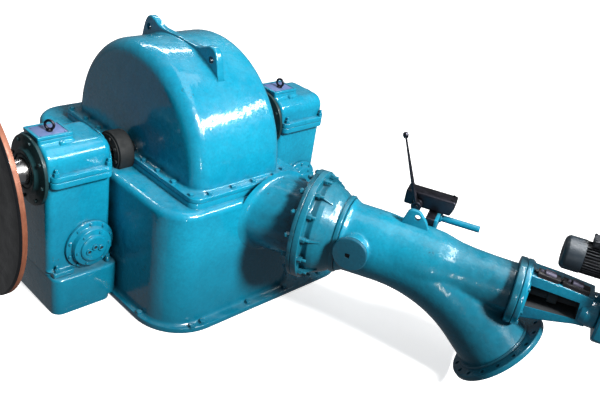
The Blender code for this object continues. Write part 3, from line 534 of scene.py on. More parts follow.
def cut(bm, tool):
    """First bmesh with the second one taken away."""
    for source in (bm, tool):
        bmesh.ops.recalc_face_normals(source, faces=source.faces)
    base, knife = throwaway(bm), throwaway(tool)
    modifier = base.modifiers.new("cut", "BOOLEAN")
    modifier.operation, modifier.solver, modifier.object = "DIFFERENCE", "EXACT", knife
    made = applied(base, knife)
    bmesh.ops.remove_doubles(made, verts=made.verts, dist=1e-5)
    return made


def remeshed(bm, voxel, smooth):
    """Voxel skin of overlapping solids, smoothed so that they run into each other like a casting."""
    obj = throwaway(bm)
    remesh = obj.modifiers.new("voxels", "REMESH")
    remesh.mode, remesh.voxel_size = "VOXEL", voxel
    soften = obj.modifiers.new("soften", "SMOOTH")
    soften.factor, soften.iterations = 0.5, smooth
    return applied(obj)


def piece(name, bm, material, matrix, replaces="", body="machine", sharp=35.0):
    """Finishes a mesh as a piece of one body, in the shared frame."""
    bm.transform(matrix)
    bmesh.ops.recalc_face_normals(bm, faces=bm.faces)
    for face in bm.faces:
        face.smooth = True
    for edge in bm.edges:
        edge.smooth = len(edge.link_faces) == 2 and edge.calc_face_angle(0.0) < math.radians(sharp)
    mesh = bpy.data.meshes.new(name)
    bm.to_mesh(mesh)
    bm.free()
    mesh.materials.append(MATERIALS[material])
    obj = bpy.data.objects.new(name, mesh)
    bpy.context.scene.collection.objects.link(obj)
    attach(obj, body)
    if replaces:
        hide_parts(replaces)


# Fasteners, all modelled along +Z with their seat at zero; sizes are across the flats

def hexagon(across, low, high):
    """Hexagonal head or nut with a turned chamfer on top."""
    radius = across / math.sqrt(3)
    return skin([[(x, y, z) for x, y in circle(radius * scale, 6)]
                 for z, scale in ((low, 1.0), (high - across * 0.06, 1.0), (high, 0.88))])


def washer(across):
    return rod(0.0, across * 0.10, across * 0.62, 0.0006, 2, 20, "Z")


def bolt(across):
    """Bolt head on a washer."""
    return joined(washer(across), hexagon(across, across * 0.10, across * 0.58))


def stud(across, length):
    """Nut on a washer with the stud's end standing out."""
    return joined(washer(across), hexagon(across, across * 0.10, across * 0.85),
                  rod(0.0, length, across * 0.31, across * 0.06, 2, 16, "Z"))


def ring_of(pattern, count, radius, along, axis="X", start=0.0, outward=1.0):
    """Copies of a fastener on a pitch circle about an axis, standing along it."""
    copies = []
    for k, (u, v) in enumerate(circle(radius, count, start)):
        place = pointing(on_axis(axis, along, u, v), on_axis(axis, outward, 0, 0))
        copies.append(moved(pattern.copy(), Matrix.Rotation(0.37 * k, 4, "Z"), place))
    pattern.free()
    return joined(*copies)


def copies_at(pattern, z, places):
    """List of copies of a fastener standing at one height."""
    copies = [moved(pattern.copy(), at(x, y, z)) for x, y in places]
    pattern.free()
    return copies


# Casing

def wall_ring(box, corner, inset, z):
    """Outline of a box at one height, moved inwards together with its corner radius."""
    x0, x1, y0, y1 = box
    return level(z, x0 + inset, x1 - inset, y0 + inset, y1 - inset, corner - inset, 12)


def casing_shell():
    """Wall with a cove at the foot and a rounded shoulder, closed round the mouth and down the inside."""
    cove, shoulder, inner_edge = 0.020, 0.034, 0.02
    ceiling = BOX_TOP_Z - BOX_WALL
    rings = [wall_ring(BOX, BOX_CORNER_R, -0.018, FOOT_T - 0.006)]
    for s, c in quarter(6):
        rings.append(wall_ring(BOX, BOX_CORNER_R, -cove * (1 - s), FOOT_T - 0.001 + cove * (1 - c)))
    for s, c in quarter(10):
        rings.append(wall_ring(BOX, BOX_CORNER_R, shoulder * (1 - c), BOX_TOP_Z - shoulder + shoulder * s))
    seat = (-FLANGE_X, FLANGE_X, -FLANGE_Y, FLANGE_Y)
    seat_line = ((-0.001, BOX_TOP_Z), (0.0, BOX_TOP_Z + 0.003), (0.0, SPLIT_Z - 0.004),
                 (0.002, SPLIT_Z - GAP))
    rings += [wall_ring(seat, FLANGE_CORNER_R, inset, z) for inset, z in seat_line]
    mouth = (-0.463, 0.463, -0.215, 0.215)
    rings += [wall_ring(mouth, 0.03, 0.0, z) for z in (SPLIT_Z - GAP, ceiling)]
    for s, c in quarter(4):
        inset, z = BOX_WALL + inner_edge * (1 - s), ceiling - inner_edge * (1 - c)
        rings.append(wall_ring(BOX, BOX_CORNER_R, inset, z))
    rings += [wall_ring(BOX, BOX_CORNER_R, inset, 0.0) for inset in (BOX_WALL, 0.004)]
    return skin(rings, loop=True)


def casing_foot():
    """Foot flange, wider round the nozzle's side, with the pit's opening cut out of it."""
    x0, x1, y0, y1 = BOX
    near, far, back, front = y0 - 0.032, y1 + 0.03, x0 - 0.032, x1 + 0.046
    wide_end, wide_start, corner = 0.775, 0.235, 0.24
    plate = outline([(back, near, corner), (front, near, corner), (front, wide_end, 0.25),
                     (wide_start, wide_end, 0.05), (wide_start, far, 0.02), (back, far, corner)], 14)
    inside = rectangle(x0 + BOX_WALL, x1 - BOX_WALL, y0 + BOX_WALL, y1 - BOX_WALL, BOX_CORNER_R - BOX_WALL)
    return cut(slab(plate, 0.0, FOOT_T, 0.004), slab(inside, -0.02, FOOT_T + 0.02, 0.001, 1))


def casing_neck():
    """Inclined neck with a cast fillet onto the front wall, and the nozzle flange."""
    wall_x, sides, radius, fillet = BOX[1], 80, 0.178, 0.028
    to_machine = MACHINE.inverted() @ NOZZLE
    way = to_machine.to_3x3() @ Vector((1.0, 0.0, 0.0))
    rings = []
    for s, c in quarter(6):
        ring = []
        for u, v in circle(radius + fillet * (1 - s), sides):
            point = to_machine @ Vector((0.0, u, v))
            ring.append(point + way * ((wall_x - point.x) / way.x + fillet * (1 - c)))
        rings.append(ring)
    for point in rings[0]:
        point.x = wall_x - 0.002
    back = -NECK_FLANGE_T
    collar_line = [(-0.062, radius), (back - 0.012, radius), (back - 0.006, 0.192), (back, 0.2)]
    for along, r in rounded(collar_line, 0.006, 4):
        rings.append([to_machine @ Vector((along, u, v)) for u, v in circle(r, sides)])
    disc_line = [(back, 0.02), (back, NOZZLE_FLANGE_R), (-GAP, NOZZLE_FLANGE_R), (-GAP, 0.02)]
    flange = turned(rounded(disc_line, 0.004, 4), 96)
    return joined(skin(rings), moved(flange, to_machine))


def build_casing():
    piece("casing", joined(casing_shell(), casing_foot()), "blue", MACHINE, "lower_casing")
    piece("casing_neck", casing_neck(), "neck", MACHINE)
    x0, x1, y0, y1 = BOX
    bolts = copies_at(bolt(0.026), FOOT_T, [(x, y0 - 0.016) for x in (-0.42, -0.12, 0.16, 0.40)]
                      + [(x1 + 0.024, y) for y in (-0.28, -0.22, 0.06, 0.30, 0.55)])
    bolts += copies_at(stud(0.030, 0.05), FOOT_T, ((0.54, 0.70), (0.42, 0.735), (0.30, 0.70), (0.40, 0.56)))
    bolts += copies_at(bolt(0.022), FOOT_T, [(x0 - 0.017, y) for y in (-0.20, 0.02, 0.24)])
    bolts += copies_at(bolt(0.026), FOOT_T, [(x, y1 + 0.014) for x in (-0.40, -0.10)])
    piece("foot_bolts", joined(*bolts), "blue", MACHINE)


# Upper cover

def drum_line(radius, half, edge):
    """Section of the drum from side to side as (radius, y) points; its far edge is fuller."""
    line = []
    for side, wide, own in ((-1, half, edge), (1, half + 0.006, edge - 0.017)):
        turn = [(0.0, side * wide)]
        turn += [(radius - own + own * s, side * (wide - own * (1 - c))) for s, c in quarter(10)]
        line += turn if side < 0 else reversed(turn)
    return line


def drum_shell():
    """Half drum with rounded edges, as one shell with its real wall."""
    steps = 88
    inner = (DRUM_R - DRUM_WALL, DRUM_HALF_W - DRUM_WALL, DRUM_EDGE_R - DRUM_WALL)
    bm = bmesh.new()
    borders = []
    for sizes in ((DRUM_R, DRUM_HALF_W, DRUM_EDGE_R), inner):
        line = drum_line(*sizes)
        angles = [math.pi * k / steps for k in range(steps + 1)]
        rings = [[(r * math.cos(a), y, SHAFT_Z + r * math.sin(a)) for r, y in line] for a in angles]
        first, last = ([(x, y, SPLIT_Z + 0.001) for x, y, z in rings[end]] for end in (0, -1))
        made = [[bm.verts.new(p) for p in ring] for ring in [first, *rings, last]]
        borders.append((made[0], made[-1]))
        for a, b in zip(made, made[1:]):
            for i in range(len(a) - 1):
                bm.faces.new((a[i], a[i + 1], b[i + 1], b[i]))
    for a, b in zip(*borders):
        for i in range(len(a) - 1):
            bm.faces.new((a[i], a[i + 1], b[i + 1], b[i]))
    bmesh.ops.remove_doubles(bm, verts=bm.verts, dist=1e-6)
    bmesh.ops.dissolve_degenerate(bm, edges=bm.edges, dist=1e-7)
    return bm


def drum_cove():
    """Cast fillet where the drum meets its flange."""
    reach, sunk = 0.012, 0.01
    base = (-DRUM_R, DRUM_R, -DRUM_HALF_W, DRUM_HALF_W)
    levels = [(sunk, FLANGE_TOP_Z - 0.002), (-reach, FLANGE_TOP_Z - 0.002)]
    levels += [(-reach * (1 - s), FLANGE_TOP_Z + reach * (1 - c)) for s, c in quarter(5)]
    levels.append((sunk, FLANGE_TOP_Z + reach))
    return skin([wall_ring(base, DRUM_EDGE_R, inset, z) for inset, z in levels], loop=True)


def build_cover():
    plate = rectangle(-FLANGE_X, FLANGE_X, -FLANGE_Y, FLANGE_Y, FLANGE_CORNER_R, 10)
    hole = slab(rectangle(-0.47, 0.47, -0.222, 0.222, 0.04), SPLIT_Z - 0.02, FLANGE_TOP_Z + 0.02, 0.001, 1)
    flange = cut(slab(plate, SPLIT_Z, FLANGE_TOP_Z, 0.004), hole)
    piece("cover", joined(flange, drum_shell(), drum_cove()), "blue", MACHINE, "upper_cover")
    places = [(x, y) for x in (-0.50, -0.37, -0.25, -0.14, 0.14, 0.25, 0.37, 0.50)
              for y in (-FLANGE_Y + 0.020, FLANGE_Y - 0.020)]
    places += [(x, y) for y in (-0.19, -0.06, 0.06, 0.19) for x in (-FLANGE_X + 0.022, FLANGE_X - 0.022)]
    piece("cover_bolts", joined(*copies_at(bolt(0.022), FLANGE_TOP_Z, places)), "blue", MACHINE)


def rib_top(x):
    """Height of the lifting rib's outline over the middle of the crown: flat, with an ear near each end."""
    x = abs(x)
    ear = math.exp(-((x - 0.228) / 0.056) ** 2)
    end = max(0.0, (x - 0.250) / 0.053)
    return 1.1765 + 0.030 * ear - 0.135 * end ** 2.4


def build_lifting_rib():
    """Rib with its two ears: sections across the rib, flared at the root and rounded on top."""
    steps, reach, half, flare, top_edge = 72, 0.300, 0.0185, 0.016, 0.010
    ear_x, ear_z, ear_hole_r = 0.240, 1.150, 0.017
    rings = []
    for k in range(steps + 1):
        x = -reach + 2 * reach * k / steps
        seat = SHAFT_Z + math.sqrt((DRUM_R + GAP) ** 2 - x * x) - 0.002
        top = max(rib_top(x), seat + 0.012)
        edge = min(top_edge, (top - seat) * 0.4)
        rise = min(flare, (top - seat) * 0.5)
        side = [(half + flare * (1 - s), seat + rise * (1 - c)) for s, c in quarter(5)]
        side += [(half - edge + edge * c, top - edge + edge * s) for s, c in quarter(5)]
        rings.append([(x, y, z) for y, z in side] + [(x, -y, z) for y, z in reversed(side)])
    rib = skin(rings)
    for x in (-ear_x, ear_x):
        rib = cut(rib, moved(drill(ear_hole_r, 32, "Y"), at(x, 0.0, ear_z)))
    piece("lifting_rib", rib, "blue", MACHINE, "lifting_plate")


def build_shaft_seals():
    """Half-round covers with a bolted rim where the shaft leaves the casing."""
    radius, depth, rim_t = 0.098, 0.075, 0.006
    steps = 48
    low = math.asin((BOX_TOP_Z + GAP - SHAFT_Z) / radius)
    angles = [low + (math.pi - 2 * low) * k / steps for k in range(steps + 1)]
    arch = [Vector((radius * math.cos(a), SHAFT_Z + radius * math.sin(a))) for a in angles]
    centre = at(0, 0, SHAFT_Z)
    for tag, side in (("near", -1), ("far", 1)):
        start, end = sorted((side * (FLANGE_Y + GAP), side * (FLANGE_Y + depth)))
        body = slab(arch, start, end, 0.005, 4, "Y")
        body = cut(body, moved(drill(SHAFT_R + 0.0006, 40, "Y", 0.5), centre))
        ring = collar(0.0, rim_t, 0.05, 0.088, 0.002, 3, 56, "Y")
        heads = ring_of(bolt(0.014), 8, 0.074, 0.0, "Y", 0.2, side)
        ring = moved(ring, at(0, end if side > 0 else start - rim_t, SHAFT_Z))
        heads = moved(heads, at(0, end + rim_t if side > 0 else start - rim_t, SHAFT_Z))
        piece(tag + "_shaft_seal_cover", joined(body, ring, heads), "shaded_seal", MACHINE, tag + "_shaft_seal")


# Rotor

def build_shaft(place):
    line = [(-1.055, 0.044), (-1.049, 0.05), (-0.82, 0.05), (-0.79, JOURNAL_R), (-0.40, JOURNAL_R),
            (-0.395, SHAFT_R), (0.52, SHAFT_R), (0.525, JOURNAL_R), (0.856, JOURNAL_R), (0.862, 0.049)]
    key = block(-0.009, 0.009, -1.045, -1.02, 0.044, 0.0545, 0.001, 2)
    piece("shaft_bar", joined(lathe(line, 0.0015, 2, 64, "Y"), key), "steel", place, "shaft", "rotor")


def build_flywheel(place):
    """Primed rim, and a black web with a bolted hub; far and near are its two faces."""
    far, near, radius, rim_inner, bore = -0.990, -1.020, 0.472, 0.440, 0.0503
    rim = collar(far, near + 0.0085, rim_inner, radius, 0.002, 3, 192, "Y")
    piece("flywheel_rim", rim, "rim", place, "flywheel", "rotor")
    inside = [(far + 0.05, bore), (far + 0.05, 0.095), (far - 0.008, 0.11, 0.008),
              (far - 0.008, 0.385, 0.008), (far, 0.395), (far + 0.0005, radius - 0.004)]
    outside = [(near + 0.0083, radius - 0.0003), (near, radius - 0.008), (near, 0.395),
               (near + 0.008, 0.385, 0.008), (near + 0.008, 0.13, 0.008), (near - 0.03, 0.12),
               (near - 0.03, bore)]
    web = lathe(inside + outside, 0.0015, 3, 192, "Y", ring=True)
    bolts = ring_of(bolt(0.020), 8, 0.082, near - 0.03, "Y", 0.2, -1.0)
    piece("flywheel_web", joined(web, bolts), "black", place, body="rotor")


def runner_blade():
    """One twisted blade from the hub to the ring, curved along the jet."""
    root, tip, span, chord, front_y, width = 0.078, 0.229, 6, 10, 0.045, 0.095
    rings = []
    for j in range(span + 1):
        radius = root + (tip - root) * j / span
        front, back = [], []
        for i in range(chord + 1):
            t = i / chord
            swing = 0.05 * math.sin(math.pi * t * 0.85) - 0.012
            thick = 0.006 * (0.4 + 0.6 * math.sin(math.pi * min(1.0, t + 0.15)))
            front.append((swing + thick / 2, front_y - width * t, radius))
            back.append((swing - thick / 2, front_y - width * t, radius))
        rings.append(front + list(reversed(back)))
    return skin(rings)


def build_rotor():
    place, blade_count = MACHINE @ at(0, 0, SHAFT_Z), 18
    build_shaft(place)
    build_flywheel(place)
    hub = lathe([(-0.085, 0.0423), (-0.085, 0.07), (-0.06, 0.085, 0.01), (0.02, 0.098, 0.01), (0.05, 0.085),
                 (0.05, 0.0423)], 0.003, 3, 64, "Y", ring=True)
    ring = collar(-0.055, -0.015, 0.223, 0.235, 0.003, 3, 96, "Y")
    blades = [moved(runner_blade(), Matrix.Rotation(2 * math.pi * k / blade_count, 4, "Y"))
              for k in range(blade_count)]
    piece("runner_wheel", joined(hub, ring, *blades), "bronze", place, "runner", "rotor")


# Bearings

def build_plinth(tag, place):
    """Block that on the near side reaches over the casing's foot."""
    half, split = 0.195, FOOT_T + 0.0006
    far_end = PLINTH_OVER_FOOT_END if tag == "near" else PLINTH_END
    low, high = (rectangle(-half, half, HOUSING_START + 0.005, end, 0.045) for end in (PLINTH_END, far_end))
    base = slab(low, 0.0, split, 0.0005, 1)
    upper = slab(high, split, PLINTH_H - GAP, 0.014, 6, both=False)
    piece(tag + "_plinth_block", joined(base, upper), "blue", place, tag + "_plinth")


def split_lip(low, high):
    """Flange of the housing or the cap at the shaft's height."""
    half = HOUSING_HALF_X + 0.026
    return slab(rectangle(-half, half, HOUSING_START + 0.012, HOUSING_END - 0.008, 0.03), low, high, 0.004, 4)


def build_housing(tag, place):
    """Upright box on two feet, with a cove round its root and a split lip."""
    half, start, end, corner, cove_r = HOUSING_HALF_X, HOUSING_START, HOUSING_END, 0.03, 0.014
    heights = ((PLINTH_H, 0.0), (PLINTH_H + 0.03, 0.0), (SHAFT_Z - 0.05, 0.002), (SHAFT_Z - GAP, 0.002))
    wall = [level(z, -half + inset, half - inset, start + inset, end - inset, corner) for z, inset in heights]
    cove = []
    for s, c in quarter(5):
        z, reach = PLINTH_H + 0.022 + cove_r * (1 - c), half + cove_r * (1 - s)
        cove.append(level(z, -reach, reach, start + 0.0005, end - 0.0005, corner))
    foot_half, foot_top = half + 0.03, PLINTH_H + 0.024
    feet = [slab(rectangle(-foot_half, foot_half, low, high, 0.008, 6), PLINTH_H, foot_top, 0.005, 4)
            for low, high in ((start + 0.015, PORT_Y - 0.083), (PORT_Y + 0.078, PLINTH_END - 0.003))]
    housing = joined(skin(wall), skin(cove), split_lip(SHAFT_Z - 0.030, SHAFT_Z - GAP), *feet)
    piece(tag + "_housing", housing, "blue", place, tag + "_bearing_housing")


def build_cap(tag, place):
    """Half-round cap with a raised seat for the inspection frame and a small nub."""
    half, start = HOUSING_HALF_X, HOUSING_START
    round_off = CAP_TOP_Z - SHAFT_Z - 0.001
    arch = outline([(-half, SHAFT_Z, 0.0), (half, SHAFT_Z, 0.0), (half, CAP_TOP_Z, round_off),
                    (-half, CAP_TOP_Z, round_off)], 20)
    cap = slab(arch, start, HOUSING_END, 0.016, 7, "Y", top_edge=0.040)
    seat = ((0.77, 0.022), (0.800, 0.014), (0.806, 0.004), (0.812, 0.0), (0.822, 0.0), (PLATE_Z, -0.002))
    turret = [level(z, -0.07 - grow, 0.07 + grow, start + 0.0005, 0.080 + grow, 0.012 + max(grow, 0.0), 6)
              for z, grow in seat]
    nub = moved(lathe([(0.0, 0.016), (0.020, 0.013)], 0.003, 3, 28), at(0.074, 0.02, 0.800))
    lip = split_lip(SHAFT_Z, SHAFT_Z + 0.026)
    piece(tag + "_cap", joined(cap, lip, skin(turret), nub), "blue", place, tag + "_bearing_cap")


def build_inspection(tag, place):
    """Frame, sunk plate with its screws, and the ring that lifts the plate."""
    floor, top = PLATE_Z + 0.007, PLATE_Z + 0.012
    outer = slab(rectangle(-0.066, 0.066, -0.082, 0.078, 0.006, 5), PLATE_Z + GAP, 0.838, 0.002, 3)
    inner = slab(rectangle(-0.053, 0.053, -0.069, 0.065, 0.004, 5), floor, 0.86, 0.0005, 1)
    piece(tag + "_frame", cut(outer, inner), "blue", place, tag + "_inspection_frame")
    plate = slab(rectangle(-0.052, 0.052, -0.068, 0.064, 0.004, 5), floor + GAP, top, 0.001, 2)
    screw = lathe([(0.0, 0.0045), (0.0025, 0.004), (0.0032, ON_AXIS)], 0.001, 2, 16, "Z")
    screws = copies_at(screw, top, [(x, y) for x in (-0.043, 0.043) for y in (-0.058, 0.054)])
    piece(tag + "_plate", joined(plate, *screws), "violet", place, tag + "_inspection_cover")
    stem = lathe([(0.0, 0.014), (0.005, 0.014), (0.006, 0.009, 0.002), (0.010, 0.007)], 0.001, 3, 28, "Z")
    hoop = turned([(u, 0.0193 + v) for u, v in circle(0.006, 14)], 40, "Y", loop=True)
    turn = Matrix.Rotation(math.radians(40 if tag == "near" else 12), 4, "Z")
    place = place @ at(0.011, -0.001, top + GAP) @ turn
    piece(tag + "_eye", joined(stem, moved(hoop, at(0, 0, 0.027))), "dark", place, tag + "_cover_eye")


def build_oil_port(tag, place):
    """Stepped round cover with two rings of screws and a boss with three plugs."""
    x = HOUSING_HALF_X + GAP
    centre = at(0.0, PORT_Y, PORT_Z)
    port = lathe([(x, 0.118), (x + 0.014, 0.118), (x + 0.018, 0.096), (x + 0.042, 0.092), (x + 0.046, 0.066),
                  (x + 0.054, 0.064), (x + 0.058, 0.056)], 0.003, 4, 80)
    outer = ring_of(bolt(0.013), 10, 0.106, x + 0.015, "X", 0.3)
    inner = ring_of(bolt(0.011), 6, 0.079, x + 0.043, "X", 0.1)
    piece(tag + "_port", moved(joined(port, outer, inner), centre), "blue", place, tag + "_oil_port")
    cup = lathe([(0.0, 0.014), (0.008, 0.014), (0.008, 0.0085), (0.002, 0.0085)], 0.001, 2, 28)
    # Thin near-black discs in the cups, painted shade in the holes
    dot = rod(0.0, 0.0006, 0.0082, 0, 0, 24)
    for name, pattern, out, material in (("plugs", cup, 0.0565, "blue"), ("holes", dot, 0.0588, "hollow")):
        copies = [moved(pattern.copy(), at(x + out, PORT_Y + y, PORT_Z + z))
                  for y, z in ((-0.030, -0.006), (0.0, 0.010), (0.030, 0.0))]
        piece(tag + "_port_" + name, joined(*copies), material, place)


def build_end_covers(tag, place):
    """Turned covers on both ends of the housing, with rolled rings and screws."""
    bore, centre = JOURNAL_R + 0.004, at(0, 0, SHAFT_Z)
    face = HOUSING_START - GAP
    rolled = face - 0.0335
    cover = lathe([(face, bore), (face, 0.156), (face - 0.016, 0.156), (face - 0.020, 0.108, 0.006),
                   (face - 0.026, 0.100), (rolled, 0.094), (rolled, 0.080), (face - 0.028, 0.076),
                   (rolled, 0.072), (rolled, bore)], 0.003, 3, 80, "Y", ring=True)
    screws = ring_of(bolt(0.014), 8, 0.136, face - 0.0165, "Y", 0.2, -1.0)
    piece(tag + "_outer_end_cover", moved(joined(cover, screws), centre), "painted_shade", place, tag + "_outer_seal")
    face = HOUSING_END + GAP
    cover = lathe([(face, bore), (face, 0.12), (face + 0.007, 0.12), (face + 0.009, 0.084, 0.004),
                   (face + 0.015, 0.078), (face + 0.015, bore)], 0.002, 3, 72, "Y", ring=True)
    screws = ring_of(bolt(0.010), 6, 0.103, face + 0.0075, "Y", 0.2, 1.0)
    piece(tag + "_inner_end_cover", moved(joined(cover, screws), centre), "blue", place, tag + "_inner_seal")


def build_bearing_bolts(tag, place):
    bolts = []
    for x, foot_x in ((-0.152, -0.158), (0.152, 0.158)):
        bolts += copies_at(stud(0.022, 0.034), SHAFT_Z + 0.026,
                           [(x, y) for y in (HOUSING_START + 0.035, HOUSING_END - 0.030)])
        bolts += copies_at(stud(0.020, 0.036), PLINTH_H + 0.024,
                           [(foot_x, y) for y in (HOUSING_START + 0.035, PLINTH_END - 0.011)])
    piece(tag + "_bearing_bolts", joined(*bolts), "blue", place)


def build_bearings():
    for tag, y in BEARINGS:
        for build in (build_plinth, build_housing, build_cap, build_inspection, build_oil_port,
                      build_end_covers, build_bearing_bolts):
            build(tag, MACHINE @ at(0, y, 0))


# Nozzle and bend

def build_nozzle():
    """Flange, ribbed bell and the nozzle inside, then the studs and ribs round the flange."""
    outside = [(GAP, 0.110), (GAP, NOZZLE_FLANGE_R), (0.030, NOZZLE_FLANGE_R), (0.031, 0.210, 0.008),
               (0.048, 0.214, 0.008), (0.062, 0.219, 0.01), (0.085, 0.212, 0.02), (0.125, 0.193, 0.02),
               (0.150, 0.176, 0.008), (0.156, 0.182), (0.171, 0.182), (BELL_END, 0.176)]
    inside = [(BELL_END, 0.152), (0.12, 0.152), (0.0, 0.104), (-0.14, 0.098), (-0.30, 0.047), (-0.352, 0.030)]
    tip = [(-0.352, 0.040), (-0.345, 0.046), (-0.30, 0.062), (-0.14, 0.110), (GAP, 0.110)]
    bell = lathe(outside + inside + tip, 0.004, 4, 96, ring=True)
    piece("nozzle_bell", bell, "shaded_blue", NOZZLE, "nozzle_body")
    studs, pitch_r, first = 14, 0.2345, math.radians(15)
    nuts = ring_of(stud(0.024, 0.040), studs, pitch_r, 0.030, "X", first)
    back = ring_of(stud(0.024, 0.026), studs, pitch_r, -NECK_FLANGE_T, "X", first, -1.0)
    piece("nozzle_bolts", joined(nuts, back), "shaded_blue", NOZZLE)
    # A rib between every other pair of studs, as (distance, half width, outer radius) sections
    sections, root = ((0.029, 0.006, 0.247), (0.060, 0.0055, 0.238), (0.110, 0.004, 0.206)), 0.18
    ribs = []
    for k in range(studs // 2):
        web = [[(along, -half, root), (along, half, root), (along, half, outer), (along, -half, outer)]
               for along, half, outer in sections]
        turn = first + 2 * math.pi * (2 * k + 0.5) / studs
        ribs.append(moved(skin(web), Matrix.Rotation(turn, 4, "X")))
    piece("nozzle_ribs", joined(*ribs), "shaded_blue", NOZZLE)


def bend_point(distance):
    """Centre line of the inlet bend: straight, then an arc downwards, then a short straight."""
    if distance < 0:
        return Vector((BEND_START + distance, 0.0, 0.0)), 0.0
    arc = BEND_RADIUS * BEND_ANGLE
    angle = min(distance, arc) / BEND_RADIUS
    point = Vector((BEND_START + BEND_RADIUS * math.sin(angle), 0.0, -BEND_RADIUS * (1 - math.cos(angle))))
    if distance > arc:
        point += Vector((math.cos(angle), 0.0, -math.sin(angle))) * (distance - arc)
    return point, angle


def bend_rings(stations, sides):
    rings = []
    for distance, radius in stations:
        centre, angle = bend_point(distance)
        up = Vector((math.sin(angle), 0.0, math.cos(angle)))
        rings.append([centre + (Vector((0.0, u, 0.0)) + up * v) * radius for u, v in circle(1.0, sides)])
    return rings


def bend_stations(offset, steps):
    """(distance, radius) along the bend, whose radius narrows at the waist and widens to the mouth."""
    lead = BEND_START - BELL_END - GAP
    run = BEND_LENGTH - 0.02 - INLET_FLANGE_T / 2
    stations = [(-lead + step, PIPE_R + grow + offset)
                for step, grow in ((0.0, 0.016), (0.010, 0.012), (0.020, 0.003), (0.03, 0.0))]
    for k in range(steps + 1):
        along = 0.02 + run * k / steps
        t = along / BEND_LENGTH
        radius = (1 - t) ** 2 * PIPE_R + 2 * t * (1 - t) * WAIST_R + t ** 2 * MOUTH_R
        stations.append((along, radius + offset))
    return stations


def build_bend():
    """Bend, needle sleeve and hand hole branch as one hollow casting."""
    pipe = skin(bend_rings(bend_stations(0.0, 40), 72))
    sleeve = lathe([(0.32, 0.153), (0.45, 0.1535), (0.54, 0.151), (0.60, 0.146), (0.64, 0.137), (0.68, 0.127),
                    (0.74, 0.120), (0.83, 0.115), (0.93, 0.113), (0.945, 0.118)], 0.02, 3, 72)
    branch = moved(rod(-0.192, -0.05, 0.066, 0, 0, 56, "Y"), at(*HAND_HOLE_AT))
    body = remeshed(joined(pipe, sleeve, branch), 0.0055, 18)
    body = cut(body, rod(SLEEVE_END, SLEEVE_END + 0.04, PAIR_R + 0.004, 0, 0, 64))
    stations = bend_stations(-PIPE_WALL, 24)
    first = (stations[0][0] - 0.02, PIPE_R - PIPE_WALL)
    last = (BEND_LENGTH + 0.03, MOUTH_R - PIPE_WALL)
    body = cut(body, skin(bend_rings([first, *stations[4:], last], 64)))
    piece("bend_body", body, "deep", NOZZLE, "inlet_elbow", sharp=50.0)


def build_inlet_flange():
    """Drilled flange at the bend's mouth with its weld."""
    end, angle = bend_point(BEND_LENGTH)
    rise, t, pitch_r, hole_r, holes = INLET_FLANGE_RISE, INLET_FLANGE_T, 0.2015, 0.0105, 16
    disc = moved(rod(-t, 0.0, INLET_FLANGE_R, 0.005, 4, 128), at(0, 0, rise))
    disc = cut(disc, drill(MOUTH_R - PIPE_WALL, 96))
    for u, v in circle(pitch_r, holes, math.pi / holes):
        disc = cut(disc, moved(drill(hole_r, 20), at(0, u, rise + v)))
    weld = lathe([(-t - 0.010, MOUTH_R - 0.004), (-t - 0.009, MOUTH_R + 0.002), (-t + 0.002, MOUTH_R + 0.010),
                  (-t + 0.002, MOUTH_R - 0.004)], 0.003, 3, 96, ring=True)
    place = NOZZLE @ Matrix.Translation(end) @ Matrix.Rotation(angle, 4, "Y")
    piece("inlet_flange", joined(disc, weld), "deep", place)


def build_hand_hole():
    """Ring, lid with its square socket, and a near-black sheet painted as shade on the socket's floor."""
    centre = at(*HAND_HOLE_AT)
    ring = collar(-0.1925, -0.184, 0.04, 0.079, 0.0025, 3, 72, "Y")
    piece("hand_hole_rim", moved(ring, centre), "blue", NOZZLE)
    lid = lathe([(-0.2122, 0.075, 0.004), (-0.208, HAND_HOLE_R), (-0.1985, HAND_HOLE_R), (-0.1975, 0.074),
                 (-0.196 - GAP, 0.074)], 0.0015, 4, 72, "Y")
    lid = cut(moved(lid, centre), block(0.2310, 0.2530, -0.23, -0.204, 0.014, 0.036, 0.001, 1))
    piece("hand_hole_lid", lid, "lid", NOZZLE, "hand_hole_cover")
    piece("hand_hole_socket", block(0.2320, 0.2520, -0.2043, -0.2036, 0.015, 0.035, 0.0), "hollow", NOZZLE)


def build_elbow():
    build_bend()
    build_inlet_flange()
    piece("sleeve_flange", collar(0.940, SLEEVE_END, 0.02, PAIR_R, 0.006, 5, 96), "deep", NOZZLE)
    heads = ring_of(bolt(0.016), 8, 0.134, SLEEVE_END + 0.0262, "X", 0.15)
    piece("sleeve_flange_bolts", heads, "deep", NOZZLE)
    build_hand_hole()
    lug = slab(outline([(0.40, 0.13, 0.0), (0.555, 0.10, 0.0), (0.515, 0.185, 0.02), (0.478, 0.226, 0.03),
                        (0.428, 0.226, 0.024)], 8), -0.011, 0.011, 0.004, 3, "Y")
    lug = cut(lug, moved(drill(0.0135, 32, "Y"), at(0.472, 0.0, 0.196)))
    piece("bend_lug", lug, "blue", NOZZLE, "elbow_lifting_lug")


# Needle drive

